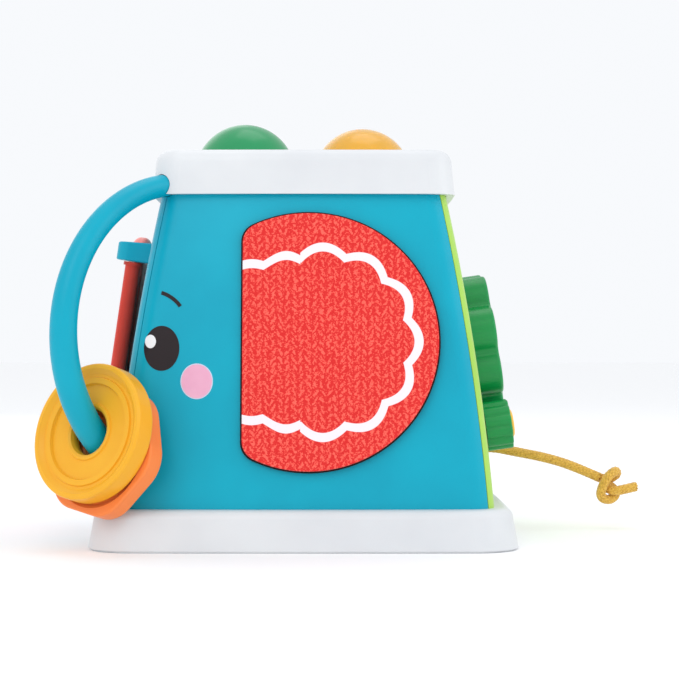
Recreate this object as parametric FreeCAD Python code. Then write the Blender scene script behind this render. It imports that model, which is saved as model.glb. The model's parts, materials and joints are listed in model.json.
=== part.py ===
"""Baby activity cube: a truncated pyramid with an ear flap, a hinged page, gears, rings and buttons.

Frame: millimetres, +Z up, origin at the centre of the base's underside. The face with the
fabric ear looks along -Y, the geared face along +X, and the curved trunk runs down the
corner between -X and -Y.
"""
import FreeCAD, Part
import math
import os
from FreeCAD import Matrix, Placement, Rotation, Vector

# ---- body: base, panels and cap --------------------------------------------------------
BASE_HALF = 98.4             # half width of the base at the floor
BASE_HEIGHT = 18.7           # floor to the ledge that carries the panels
BASE_DRAFT = 3.0             # how far the base's side leans in over its height
BASE_CORNER = 21.0           # plan radius of the base's corners
BASE_TOP_ROUND = 4.5
BASE_FOOT_EDGE = 1.0         # bevel round the underside
BASE_WALL = 2.6
BASE_FLOOR = 3.0
BASE_CROWN = 1.2             # how far the middle of a base or cap side stands out
SEAM_HEIGHT = 161.8          # lower edge of the cap
CAP_HEIGHT = 20.8            # lower edge of the cap to its top
CAP_HALF = 70.8
CAP_DRAFT = 1.9
CAP_CORNER = 12.0
CAP_TOP_ROUND = 6.0
CAP_WALL = 2.4
PANEL_FOOT_HALF = 88.6       # half width across the panels at the base's ledge
PANEL_HEAD_HALF = 67.7       # and at the cap's lower edge
PANEL_BULGE = 2.2            # how far the panels swell at mid height
PANEL_CROWN = 2.5            # how far the middle of a panel stands out in plan
PANEL_CORNER = 11.0
PANEL_WALL = 2.5
PANEL_SEAM = 0.25            # half the gap between neighbouring panels
PANEL_TUCK = 5.0             # how far the panels reach up inside the cap
CAP_FIT = 0.3                # clearance between the cap's skirt and the panels
LIP_HEIGHT = 7.0             # the base's lip inside the panels
LIP_WALL = 1.8
LIP_FIT = 0.3

# ---- trunk and rings --------------------------------------------------------------------
TRUNK_REACH = 79.9           # from the cube's axis to the centre of the trunk's arc
TRUNK_CENTRE_Z = 97.8
TRUNK_RADIUS = 69.0
TRUNK_BORE_MID = 12.25       # tube diameter level with the arc's centre
TRUNK_TAPER = 1.45           # diameter lost per radian up the arc
TRUNK_LOW_END = -74.0        # degrees round the arc
TRUNK_HIGH_END = 88.0
TRUNK_FIT = 0.3              # clearance of the tube in the panels and the cap
SOCKET_WALL = 2.5
SOCKET_DEPTH = 8.0
RING_AZIMUTH = 53.0          # the way the rings face, from -X towards -Y
RING_RISE = 16.0             # and how far they face upwards
RING_HOLE_EDGE = 1.5
RING_GAP = 0.3               # between the rings, and between a ring and the body
YELLOW_R = 31.2
YELLOW_THICK = 9.8
YELLOW_HOLE_R = 10.2
ORANGE_FLAT_R = 29.0         # centre to the middle of a flat side
ORANGE_CORNER = 16.0
ORANGE_THICK = 8.4
ORANGE_HOLE_R = 10.3
ORANGE_DROP = 0.8            # how far the orange ring hangs below the tube's centre line
ORANGE_TURN = -10.0

# ---- fabric ear flap ---------------------------------------------------------------------
FLAP_R = 59.0                # the D's round side
FLAP_X = 2.3                 # centre of the round side
FLAP_Z = 94.0
FLAP_EDGE = 29.9             # centre of the round side to the straight, hinged edge
FLAP_CORNER = 9.0
FLAP_THICK = 2.0
FLAP_LIFT = 0.35             # clearance over the panel's highest point
TAB_THICK = 1.2
TAB_DEPTH = 9.0
TAB_FIT = 0.15
CLAMP_WIDTH = 7.0
CLAMP_THICK = 4.0

# ---- hinged page -------------------------------------------------------------------------
PAGE_R = 55.0
PAGE_THICK = 7.4
PAGE_ROUND = 3.0
PAGE_SHOULDER = 9.6          # hinge axis to the page's straight edge
PAGE_CENTRE = 33.5           # hinge axis to the centre of the page's round side
PAGE_RECESS = 0.8
PAGE_RIM = 7.0
ROD_ALONG = 30.0             # hinge axis from the middle of the face, towards -Y
ROD_LIFT = 7.8               # hinge axis off the face
ROD_Z = 90.0
BARREL_R = 3.7
BARREL_HALF = 41.2
COLLAR_R = 4.6
COLLAR_LENGTH = 1.6
PIN_R = 2.0
PIN_FIT = 0.08
BRACKET_GAP = 0.4
BRACKET_TIP = 8.6            # thickness of a bracket's outer end
BRACKET_ROOT = 11.0
BRACKET_WIDTH = 12.0
BRACKET_BEYOND = 8.3         # hinge axis to a bracket's outer end
PIN_SEAT = 6.0               # how deep the pin sits in each bracket

# ---- gears -------------------------------------------------------------------------------
FLOWER_ALONG = 12.0
FLOWER_Z = 90.0
FLOWER_TIP_R = 37.5
FLOWER_VALLEY_R = 31.5
FLOWER_DENT_R = 3.0
FLOWER_LOBES = 8
FLOWER_TURN = 26.5           # degrees from along the face to the middle of a lobe
PINION_TIP_R = 12.0
PINION_VALLEY_R = 11.0
PINION_DENT_R = 0.6
PINION_LOBES = 12
PINION_TURN = 17.0
PINION_DROP = 37.7           # flower axis down to the pinion axis
GEAR_LIFT = 1.2
GEAR_THICK = 12.4
GEAR_ROUND = 1.4
GEAR_MODULE = 2.0
DRIVE_TEETH = 36
DRIVEN_TEETH = 15
DRIVE_THICK = 5.0
BACKLASH = 0.35
PRESSURE_ANGLE = math.radians(20)
AXLE_R = 4.0
AXLE_FIT = 0.06
PANEL_HOLE_FIT = 0.6
CARRIER_DEPTH = 5.0          # outer face of the carrier below the panel's outer face
CARRIER_THICK = 3.0
CARRIER_R = 14.0
HUB_CAP_R = 7.0
PAD_R = 43.0
PAD_HEIGHT = 0.5
DOT_R = 6.5
DOT_Z = 147.0

# ---- buttons and electronics ---------------------------------------------------------------
GREEN_X = -29.4
GREEN_R = 24.9
GREEN_Z = 176.1              # centre of the green dome
YELLOW_X = 28.4
YELLOW_DOME_R = 24.3
YELLOW_Z = 174.6
BUTTON_WALL = 2.0
BUTTON_FIT = 0.25
BUTTON_FLANGE = 2.0          # how far the flange reaches past the dome
FLANGE_THICK = 2.0
PRESS_TRAVEL = 3.0
STEM_R = 3.0
SPRING_R = 8.0
SPRING_WIRE = 0.5
SPRING_TURNS = 4
SPRING_STEPS = 16            # straight pieces in a turn
SPRING_HEIGHT = 10.0
BOARD_TOP = 166.0
BOARD_THICK = 1.6
BOARD_HALF_X = 54.0
BOARD_HALF_Y = 28.0
SWITCH_HEIGHT = 2.6
STANDOFF_X = 50.0
STANDOFF_Y = 24.0
SCREW_R = 1.4
POST_X = 50.0
POST_R = 4.0
POST_BASE_Z = 8.0
SPEAKER_R = 26.0
SPEAKER_Z = 95.0
SPEAKER_DEPTH = 16.0
GRILLE_HOLE_R = 1.4
GRILLE_PITCH = 6.5
KNOB_Z = 40.0
KNOB_TRAVEL = 3.0
CELL_R = 7.1
CELL_LENGTH = 50.0
CELLS = 3
COIL_R = 4.2                 # rings of the contact springs
COIL_WIRE = 0.45
CELL_PITCH = 15.2
DOOR_X = 34.0                # half length of the battery door
DOOR_Y = 32.0
DOOR_THICK = 1.8
DOOR_FIT = 0.3
DOOR_SINK = 1.1              # depth of the door screw's head
DOOR_HEAD_R = 2.6
DOOR_SCREW_Y = 26.5
DOOR_SCREW_TOP = 10.0
DOOR_GRIPS = 5
DOOR_GRIP_PITCH = 2.4
DOOR_GRIP_R = 0.4
DOOR_GRIP_HALF = 12.0
BOSS_HALF = 3.4
BOX_WALL = 1.6
CELL_FIT = 0.3
CONTACT_SPACE = 3.5          # from a cell's end to the box's wall

# ---- tail cord -----------------------------------------------------------------------------
CORD_R = 2.45
CORD_FIT = 0.5                # clearance of the cord in its grommet
CORD_ROUTE = (
    (76.0, 20.0, 39.75),
    (91.5, 20.0, 41.25),
    (107.0, 20.3, 38.2),
    (122.5, 20.0, 35.2),
    (136.0, 20.6, 30.9),
    (148.5, 20.0, 25.3),
)
TAIL_ALONG = 20.0
TAIL_Z = 40.6
KNOT_CENTRE = (153.2, 20.0, 21.2)
KNOT_HALF_WIDTH = 5.7
KNOT_HALF_HEIGHT = 8.4
TAIL_END = (167.0, 20.6, 20.6)

SIDES = {"right": 0.0, "far": 90.0, "left": 180.0, "front": 270.0}
UP = Vector(0, 0, 1)
TOP_HEIGHT = SEAM_HEIGHT + CAP_HEIGHT
CAP_UNDER = TOP_HEIGHT - CAP_WALL
nodes = {}


# ---- helpers -------------------------------------------------------------------------------
def rounded_square(z, half, corner, crown):
    """A square outline with arcs for corners and slightly crowned arcs for sides."""
    side_r = (half * half + crown * crown) / (2 * crown)
    shift = side_r - half
    # The corner arc's centre (k, k) touches the side arc centred at (-shift, 0).
    inner = side_r - corner
    k = (-shift + math.sqrt(2 * inner * inner - shift * shift)) / 2
    reach = math.hypot(k + shift, k)
    cos_a = (k + shift) / reach
    sin_a = k / reach
    edges = []
    for turn in range(4):
        rot = Rotation(UP, 90 * turn)

        def at(x, y):
            return rot.multVec(Vector(x, y, 0)) + Vector(0, 0, z)

        low = at(-shift + side_r * cos_a, -side_r * sin_a)
        mid = at(half, 0)
        high = at(-shift + side_r * cos_a, side_r * sin_a)
        tip = at(k + corner / math.sqrt(2), k + corner / math.sqrt(2))
        nxt = at(side_r * sin_a, -shift + side_r * cos_a)
        edges.append(Part.Arc(low, mid, high).toShape())
        edges.append(Part.Arc(high, tip, nxt).toShape())
    return Part.Wire(edges)


def panel_half(z):
    """Half width across the panels at a height."""
    share = (z - BASE_HEIGHT) / (SEAM_HEIGHT - BASE_HEIGHT)
    straight = PANEL_FOOT_HALF + (PANEL_HEAD_HALF - PANEL_FOOT_HALF) * share
    return straight + 4 * PANEL_BULGE * share * (1 - share)


def panel_lean(z):
    """Angle that the panels' faces look upwards, in radians."""
    return math.atan((panel_half(z - 1) - panel_half(z + 1)) / 2)


def body_loft(inset, z_low, z_high, sections=5):
    """The solid inside the panels' outer faces, moved inwards by inset."""
    wires = []
    for i in range(sections):
        z = z_low + (z_high - z_low) * i / (sections - 1)
        wires.append(rounded_square(z, panel_half(z) - inset, PANEL_CORNER - inset, PANEL_CROWN))
    return Part.makeLoft(wires, True, False)


def slab(z_low, half_low, z_high, half_high, corner, crown):
    """A straight-sided block between two rounded squares."""
    low = rounded_square(z_low, half_low, corner, crown)
    high = rounded_square(z_high, half_high, corner, crown)
    return Part.makeLoft([low, high], True, True)


def face_frame(side, along, z, lift=0.0):
    """Placement on a panel: x runs along the face, y up it and z out of it."""
    turn = math.radians(SIDES[side])
    out = Vector(math.cos(turn), math.sin(turn), 0)
    across = Vector(-math.sin(turn), math.cos(turn), 0)
    lean = panel_lean(z)
    normal = out * math.cos(lean) + UP * math.sin(lean)
    rise = UP * math.cos(lean) - out * math.sin(lean)
    half = panel_half(z)
    drop = PANEL_CROWN * (along / half) ** 2
    origin = out * (half - drop) + across * along + UP * z + normal * lift
    matrix = Matrix(across.x, rise.x, normal.x, origin.x,
                    across.y, rise.y, normal.y, origin.y,
                    across.z, rise.z, normal.z, origin.z,
                    0, 0, 0, 1)
    return Placement(matrix)


def placed(shape, placement):
    """A copy of a shape put where a placement says."""
    moved = shape.copy()
    moved.Placement = placement.multiply(moved.Placement)
    return moved


def rod(radius, start, end):
    """A round bar between two points."""
    return Part.makeCylinder(radius, (end - start).Length, start, end - start)


def block(x0, x1, y0, y1, z0, z1):
    """A box from its limits."""
    return Part.makeBox(x1 - x0, y1 - y0, z1 - z0, Vector(x0, y0, z0))


def join(shapes):
    """One solid from touching or overlapping shapes."""
    whole = shapes[0]
    if len(shapes) > 1:
        whole = whole.fuse(shapes[1:])
    return whole.removeSplitter()


def group(shapes):
    """Separate solids that share a node."""
    return Part.makeCompound([solid for shape in shapes for solid in shape.Solids])


def turned(points):
    """A solid of revolution about z from (radius, z) points."""
    outline = [Vector(r, 0, z) for r, z in points]
    face = Part.Face(Part.makePolygon(outline + outline[:1]))
    return face.revolve(Vector(0, 0, 0), UP, 360)


def edges_at(shape, z, tolerance=0.01):
    """The edges that lie wholly at one height."""
    return [e for e in shape.Edges
            if abs(e.BoundBox.ZMin - z) < tolerance and abs(e.BoundBox.ZMax - z) < tolerance]


def lobed_outline(lobes, tip_r, valley_r, dent_r):
    """A closed outline of round lobes joined by small round dents."""
    half_pitch = math.pi / lobes
    dent_at = valley_r + dent_r
    spread = tip_r + dent_r
    lobe_at = (spread ** 2 - dent_at ** 2) / (2 * (spread - dent_at * math.cos(half_pitch)))
    lobe_r = tip_r - lobe_at
    edges = []
    for i in range(lobes):
        angle = 2 * half_pitch * i
        lobe = polar(lobe_at, angle)
        before = polar(dent_at, angle - half_pitch)
        after = polar(dent_at, angle + half_pitch)
        following = polar(lobe_at, angle + 2 * half_pitch)
        start = lobe + (before - lobe).normalize() * lobe_r
        end = lobe + (after - lobe).normalize() * lobe_r
        edges.append(Part.Arc(start, polar(tip_r, angle), end).toShape())
        beyond = after + (following - after).normalize() * dent_r
        edges.append(Part.Arc(end, polar(valley_r, angle + half_pitch), beyond).toShape())
    return Part.Wire(edges)


def polar(radius, angle):
    """A point in the xy plane."""
    return Vector(radius * math.cos(angle), radius * math.sin(angle), 0)


def involute_gear(teeth, thick, bore_r):
    """A spur gear with involute flanks, its tooth 0 pointing along +x."""
    pitch_r = GEAR_MODULE * teeth / 2
    base_r = pitch_r * math.cos(PRESSURE_ANGLE)
    root_r = pitch_r - 1.25 * GEAR_MODULE
    tip_r = pitch_r + 0.95 * GEAR_MODULE
    spread = math.tan(PRESSURE_ANGLE) - PRESSURE_ANGLE
    half_tooth = math.pi / (2 * teeth) - BACKLASH / (2 * pitch_r)
    start_r = max(base_r, root_r)
    flank = []
    for i in range(4):
        r = start_r + (tip_r - start_r) * i / 3
        roll = math.acos(base_r / r)
        flank.append((r, half_tooth + spread - (math.tan(roll) - roll)))
    points = []
    for tooth in range(teeth):
        middle = 2 * math.pi * tooth / teeth
        points.append(polar(root_r, middle - flank[0][1]))
        points += [polar(r, middle - a) for r, a in flank]
        points += [polar(r, middle + a) for r, a in reversed(flank)]
        points.append(polar(root_r, middle + flank[0][1]))
    if root_r >= base_r:
        points = [p for i, p in enumerate(points) if i == 0 or (p - points[i - 1]).Length > 1e-6]
    disc = Part.Face(Part.makePolygon(points + points[:1])).extrude(Vector(0, 0, thick))
    return disc.cut(Part.makeCylinder(bore_r, thick * 3, Vector(0, 0, -thick)))


def coil_spring(radius, wire_r, height, turns):
    """A compression spring of eight-sided wire standing on z = 0."""
    rise = height - 2 * wire_r
    slope = rise / turns / (2 * math.pi * radius)
    steps = turns * SPRING_STEPS
    sections = []
    for i in range(steps + 1):
        angle = 2 * math.pi * i / SPRING_STEPS
        out = polar(1, angle)
        along = polar(1, angle + math.pi / 2) + UP * slope
        lift = out.cross(along.normalize())
        centre = out * radius + UP * (wire_r + rise * i / steps)
        corners = []
        for k in range(8):
            turn = k * math.pi / 4
            corners.append(centre + out * (wire_r * math.cos(turn)) + lift * (wire_r * math.sin(turn)))
        sections.append(Part.makePolygon(corners + corners[:1]))
    return Part.makeLoft(sections, True, True)


def cord_path(route):
    """Straight runs joined by tangent arcs, each as large as its two runs allow."""
    points = [Vector(*p) for p in route]
    edges = []
    last = points[0]
    radii = []
    for a, b, c in zip(points, points[1:], points[2:]):
        into = (b - a).normalize()
        away = (c - b).normalize()
        half_turn = into.getAngle(away) / 2
        reach = 0.45 * min((b - a).Length, (c - b).Length)
        radius = reach / math.tan(half_turn)
        radii.append(radius)
        start = b - into * reach
        end = b + away * reach
        bisector = (away - into).normalize()
        middle = b + bisector * (radius / math.cos(half_turn) - radius)
        edges.append(Part.LineSegment(last, start).toShape())
        edges.append(Part.Arc(start, middle, end).toShape())
        last = end
    edges.append(Part.LineSegment(last, points[-1]).toShape())
    return Part.Wire(edges), radii


# ---- body ----------------------------------------------------------------------------------
def make_base():
    """The flared tray that everything stands on, with its battery opening and screw bosses."""
    top_half = BASE_HALF - BASE_DRAFT
    edge = BASE_FOOT_EDGE
    tray = slab(edge, BASE_HALF, BASE_HEIGHT, top_half, BASE_CORNER, BASE_CROWN)
    tray = tray.makeFillet(BASE_TOP_ROUND, edges_at(tray, BASE_HEIGHT))
    foot = slab(0, BASE_HALF - edge, edge, BASE_HALF, BASE_CORNER, BASE_CROWN)
    tray = tray.fuse(foot)
    inner_corner = BASE_CORNER - BASE_WALL
    ledge_under = BASE_HEIGHT - BASE_WALL
    cavity = slab(BASE_FLOOR, BASE_HALF - BASE_WALL - 1, ledge_under, top_half - BASE_WALL - 1.5,
                  inner_corner, BASE_CROWN)
    lip_inset = PANEL_WALL + LIP_FIT
    lip_top = BASE_HEIGHT + LIP_HEIGHT
    opening = body_loft(lip_inset + LIP_WALL, ledge_under - 1, lip_top + 1)
    lip = body_loft(lip_inset, BASE_HEIGHT - 1, lip_top).cut(opening)
    shell = tray.cut(cavity).cut(opening).fuse(lip)
    boss_r = POST_R + 1.5
    for x, y in post_places():
        shell = shell.fuse(Part.makeCylinder(boss_r, POST_BASE_Z - 1, Vector(x, y, 1)))
    for x, y in post_places():
        shell = shell.cut(Part.makeCylinder(SCREW_R + 0.4, POST_BASE_Z + 2, Vector(x, y, -1)))
        shell = shell.cut(Part.makeCylinder(2 * SCREW_R + 0.8, 5, Vector(x, y, 0)))
    rebate = door_outline(DOOR_FIT, 0, DOOR_THICK + 0.3)
    well = door_outline(-3.0, 0, BASE_FLOOR + 1)
    return shell.cut(rebate).cut(well).removeSplitter()


def door_outline(grow, z_low, z_high):
    """The battery door's block, grown or shrunk all round."""
    x = DOOR_X + grow
    y = DOOR_Y + grow
    shape = block(-x, x, -y, y, z_low, z_high)
    upright = [e for e in shape.Edges if e.BoundBox.ZLength > (z_high - z_low) / 2]
    return shape.makeFillet(4.0 + min(grow, 0), upright)


def post_places():
    """Where the four tie posts stand."""
    return [(sx * POST_X, sy * POST_X) for sx in (-1, 1) for sy in (-1, 1)]


def make_panels():
    """Four crowned side panels, split along the cube's diagonals."""
    head = SEAM_HEIGHT + PANEL_TUCK
    skin = body_loft(0, BASE_HEIGHT, head).cut(body_loft(PANEL_WALL, BASE_HEIGHT, head))
    gap = PANEL_SEAM * math.sqrt(2)
    far = 2 * BASE_HALF
    panels = {}
    for side, turn in SIDES.items():
        corners = [Vector(gap, 0, 0), Vector(gap + far, -far, 0), Vector(gap + far, far, 0)]
        wedge = Part.Face(Part.makePolygon(corners + corners[:1])).extrude(Vector(0, 0, far + far))
        wedge.rotate(Vector(0, 0, 0), UP, turn)
        panels[side] = skin.common(wedge)
    return panels


def make_cap():
    """The white lid: a skirt over the panels, a rounded top and two button holes."""
    lid = slab(SEAM_HEIGHT, CAP_HALF, TOP_HEIGHT, CAP_HALF - CAP_DRAFT, CAP_CORNER, BASE_CROWN)
    lid = lid.makeFillet(CAP_TOP_ROUND, edges_at(lid, TOP_HEIGHT))
    head = SEAM_HEIGHT + PANEL_TUCK
    skirt = body_loft(-CAP_FIT, SEAM_HEIGHT - 2, head + CAP_FIT)
    hollow = slab(SEAM_HEIGHT - 2, PANEL_HEAD_HALF - PANEL_WALL - 1.5, CAP_UNDER,
                  PANEL_HEAD_HALF - PANEL_WALL - 3.0, PANEL_CORNER, BASE_CROWN)
    lid = lid.cut(skirt).cut(hollow)
    for x, dome_r in ((GREEN_X, GREEN_R), (YELLOW_X, YELLOW_DOME_R)):
        lid = lid.cut(Part.makeCylinder(dome_r + BUTTON_FIT, 40, Vector(x, 0, CAP_UNDER - 10)))
    return lid


def make_posts():
    """Four tie posts between the base's bosses and the cap, and their screws."""
    posts = []
    screws = []
    for x, y in post_places():
        post = Part.makeCylinder(POST_R, CAP_UNDER - POST_BASE_Z, Vector(x, y, POST_BASE_Z))
        pilot = Part.makeCylinder(SCREW_R, 16, Vector(x, y, POST_BASE_Z - 1))
        posts.append(post.cut(pilot))
        screws.append(pan_screw(Vector(x, y, 5), UP, 14))
    return group(posts), group(screws)


def pan_screw(seat, axis, length):
    """A round-headed screw: seat is under the head, axis points along the shank."""
    head_r = 2 * SCREW_R
    head = Part.makeCylinder(head_r, 1.6, Vector(0, 0, -1.6))
    head = head.cut(Part.makeBox(4.2, 0.7, 0.8, Vector(-2.1, -0.35, -1.7)))
    head = head.cut(Part.makeBox(0.7, 4.2, 0.8, Vector(-0.35, -2.1, -1.7)))
    screw = join([head, Part.makeCylinder(SCREW_R, length)])
    return placed(screw, Placement(seat, Rotation(UP, axis)))


# ---- trunk and rings -----------------------------------------------------------------------
def trunk_point(degrees, outwards=0.0):
    """A point on the trunk's arc, in the vertical plane through the -X-Y corner."""
    angle = math.radians(degrees)
    reach = TRUNK_REACH + (TRUNK_RADIUS + outwards) * math.cos(angle)
    height = TRUNK_CENTRE_Z + (TRUNK_RADIUS + outwards) * math.sin(angle)
    return Vector(-reach / math.sqrt(2), -reach / math.sqrt(2), height)


def trunk_tangent(degrees):
    """The direction up the trunk."""
    angle = math.radians(degrees)
    inward = math.sin(angle) / math.sqrt(2)
    return Vector(inward, inward, math.cos(angle))


def trunk_tube(start, end, grow=0.0, sections=11):
    """The tapered tube between two places on the arc."""
    circles = []
    for i in range(sections):
        degrees = start + (end - start) * i / (sections - 1)
        radius = (TRUNK_BORE_MID - TRUNK_TAPER * math.radians(degrees)) / 2 + grow
        circle = Part.makeCircle(radius, trunk_point(degrees), trunk_tangent(degrees))
        circles.append(Part.Wire(circle))
    return Part.makeLoft(circles, True, False)


def trunk_end(degrees, way):
    """The middle of one end of the tube and the direction out of that end."""
    return trunk_point(degrees), trunk_tangent(degrees) * way


def make_socket(sleeve):
    """The cup inside the lower corner, and the screws that hold the tube's two ends."""
    tip, inward = trunk_end(TRUNK_LOW_END, -1)
    tube_r = (TRUNK_BORE_MID - TRUNK_TAPER * math.radians(TRUNK_LOW_END)) / 2
    start = tip - inward * (SOCKET_DEPTH - SOCKET_WALL)
    cup = rod(tube_r + SOCKET_WALL, start, tip + inward * SOCKET_WALL)
    room = body_loft(PANEL_WALL + LIP_FIT + LIP_WALL + 0.2, BASE_HEIGHT, TRUNK_CENTRE_Z)
    hole = rod(SCREW_R, tip - inward, tip + inward * 9)
    cup = cup.cut(sleeve).cut(hole).common(room)
    low = pan_screw(tip + inward * SOCKET_WALL, inward * -1, 9)
    tip, inward = trunk_end(TRUNK_HIGH_END, 1)
    high = pan_screw(tip, inward * -1, 7)
    return cup, group([low, high])


def ring_normal():
    """The way both rings face."""
    azimuth = math.radians(RING_AZIMUTH)
    rise = math.radians(RING_RISE)
    return Vector(-math.cos(rise) * math.cos(azimuth), -math.cos(rise) * math.sin(azimuth),
                  math.sin(rise))


def corner_reach(half, corner, z, normal):
    """How far a rounded corner at one height reaches along the rings' normal."""
    flat = math.hypot(normal.x, normal.y)
    spread = abs(normal.x) + abs(normal.y)
    return half * spread - corner * (spread - flat) + z * normal.z


def ring_seat():
    """The plane that the lower ring's back lies in, as a distance along the normal."""
    normal = ring_normal()
    reaches = []
    for z in (20, 30, 40, 50, 60, 70):
        reaches.append(corner_reach(panel_half(z), PANEL_CORNER, z, normal))
    for share in (0.5, 0.75):
        z = BASE_HEIGHT * share
        half = BASE_HALF - BASE_DRAFT * share
        reaches.append(corner_reach(half, BASE_CORNER, z, normal))
    return max(reaches) + RING_GAP


def ring_angle(plane):
    """Where the trunk's centre line crosses a plane along the rings' normal, in degrees."""
    normal = ring_normal()
    lateral = -(normal.x + normal.y) / math.sqrt(2)
    level = math.hypot(lateral, normal.z)
    lead = math.atan2(normal.z, lateral)
    offset = TRUNK_REACH * lateral + TRUNK_CENTRE_Z * normal.z
    return math.degrees(lead - math.acos((plane - offset) / (TRUNK_RADIUS * level)))


def ring_placement(centre):
    """A frame with z along the rings' normal, x level and y up the ring."""
    normal = ring_normal()
    level = UP.cross(normal).normalize()
    rise = normal.cross(level)
    matrix = Matrix(level.x, rise.x, normal.x, centre.x,
                    level.y, rise.y, normal.y, centre.y,
                    level.z, rise.z, normal.z, centre.z,
                    0, 0, 0, 1)
    return Placement(matrix)


def ring_half_profile(outer_r, hole_r, half):
    """(radius, height) points of one face of a ring, from the hole outwards."""
    collar_r = hole_r + 2.6
    disc = half - 2.4
    ridge = half - 1.0
    trough = half - 1.8
    return [(hole_r, 0.8), (hole_r + 0.5, disc + 0.2), (hole_r + RING_HOLE_EDGE, disc + 0.8),
            (collar_r, disc + 0.8), (collar_r + 0.4, disc),
            (outer_r * 0.69, disc), (outer_r * 0.71, ridge), (outer_r * 0.79, ridge),
            (outer_r * 0.80, trough), (outer_r * 0.845, trough), (outer_r * 0.91, half - 0.3),
            (outer_r * 0.92, half)]


def ring_body(outer_r, hole_r, thick):
    """A grooved disc with a hole, the same on both faces."""
    half = thick / 2
    edge = 1.1
    face = ring_half_profile(outer_r, hole_r, half)
    rim = [(outer_r - edge, half), (outer_r - 0.3, half - 0.35), (outer_r, half - edge)]
    upper = face + rim
    lower = [(r, -z) for r, z in reversed(upper)]
    return turned(upper + lower)


def make_rings():
    """The round ring and the rounded six-sided ring, hung side by side on the trunk."""
    seat = ring_seat()
    orange_plane = seat + ORANGE_THICK / 2
    yellow_plane = seat + ORANGE_THICK + RING_GAP + YELLOW_THICK / 2
    orange_at = trunk_point(ring_angle(orange_plane))
    yellow_at = trunk_point(ring_angle(yellow_plane))
    yellow = placed(ring_body(YELLOW_R, YELLOW_HOLE_R, YELLOW_THICK), ring_placement(yellow_at))
    reach = ORANGE_FLAT_R / math.cos(math.radians(30))
    disc = ring_body(ORANGE_FLAT_R, ORANGE_HOLE_R, ORANGE_THICK)
    hexagon = [polar(reach, math.radians(60 * i)) for i in range(6)]
    half = ORANGE_THICK / 2
    prism = Part.Face(Part.makePolygon(hexagon + hexagon[:1])).extrude(Vector(0, 0, ORANGE_THICK))
    prism.translate(Vector(0, 0, -half))
    upright = [e for e in prism.Edges if e.BoundBox.ZLength > half]
    prism = prism.makeFillet(ORANGE_CORNER, upright)
    rims = edges_at(prism, half) + edges_at(prism, -half)
    prism = prism.makeFillet(1.0, rims)
    collar = Part.makeCylinder(ORANGE_FLAT_R * 0.93, ORANGE_THICK * 2, Vector(0, 0, -ORANGE_THICK))
    prism = prism.cut(collar)
    core = disc.common(collar)
    orange = join([prism, core])
    orange.rotate(Vector(0, 0, 0), UP, ORANGE_TURN)
    down = ring_placement(orange_at)
    orange = placed(orange, down.multiply(Placement(Vector(0, -ORANGE_DROP, 0), Rotation())))
    return yellow, orange


# ---- fabric ear flap -----------------------------------------------------------------------
def d_outline(radius, edge, corner):
    """A circle cut by a straight edge on its -x side, with rounded corners."""
    half = math.sqrt(radius ** 2 - edge ** 2)
    start = Vector(-edge, -half, 0)
    end = Vector(-edge, half, 0)
    arc = Part.Arc(start, Vector(radius, 0, 0), end).toShape()
    face = Part.Face(Part.Wire([arc, Part.makeLine(end, start)]))
    solid = face.extrude(Vector(0, 0, 1))
    upright = [e for e in solid.Edges if e.BoundBox.ZLength > 0.9 and e.BoundBox.XLength < 0.1]
    return solid.makeFillet(corner, upright)


def d_plate(radius, edge, corner, thick):
    """A D-shaped plate lying on z = 0."""
    thin = d_outline(radius, edge, corner)
    face = [f for f in thin.Faces if f.BoundBox.ZMax < 0.01][0]
    flat = Part.Face(face.OuterWire)
    plate = flat.extrude(Vector(0, 0, thick))
    return plate


def make_flap():
    """The fabric ear, its sewn-in tab, and the clamp bar and screws inside the panel."""
    frame = face_frame("front", FLAP_X, FLAP_Z)
    flap = d_plate(FLAP_R, FLAP_EDGE, FLAP_CORNER, FLAP_THICK)
    flap.translate(Vector(0, 0, FLAP_LIFT))
    tab_half = math.sqrt(FLAP_R ** 2 - FLAP_EDGE ** 2) - FLAP_CORNER
    tab_x = -FLAP_EDGE + 1.0
    tab_low = -PANEL_WALL - TAB_DEPTH
    tab = block(tab_x - TAB_THICK / 2, tab_x + TAB_THICK / 2, -tab_half, tab_half, tab_low, -0.4)
    slot = block(tab_x - TAB_THICK / 2 - TAB_FIT, tab_x + TAB_THICK / 2 + TAB_FIT,
                 -tab_half - TAB_FIT, tab_half + TAB_FIT, tab_low, 3)
    bar_top = tab_low + CLAMP_THICK
    bar = block(tab_x - CLAMP_WIDTH / 2, tab_x + CLAMP_WIDTH / 2, -tab_half, tab_half,
                tab_low, bar_top)
    jaw = block(tab_x - TAB_THICK / 2, tab_x + TAB_THICK / 2, -tab_half, tab_half,
                tab_low, bar_top)
    ends = []
    screws = []
    for way in (-1, 1):
        y = way * (tab_half + 4)
        ears = block(tab_x - CLAMP_WIDTH / 2, tab_x + CLAMP_WIDTH / 2, y - 4, y + 4,
                     tab_low, -PANEL_WALL)
        ends.append(ears.cut(Part.makeCylinder(SCREW_R, 40, Vector(tab_x, y, tab_low - 1))))
        screws.append(pan_screw(Vector(tab_x, y, tab_low), UP, TAB_DEPTH))
    clamp = join([bar.cut(jaw)] + ends)
    return frame, flap, tab, slot, clamp, screws


# ---- hinged page ---------------------------------------------------------------------------
def page_frame():
    """The hinge axis: y runs up the rod, x towards -Y and z out of the face."""
    return face_frame("left", ROD_ALONG, ROD_Z, ROD_LIFT)


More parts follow.
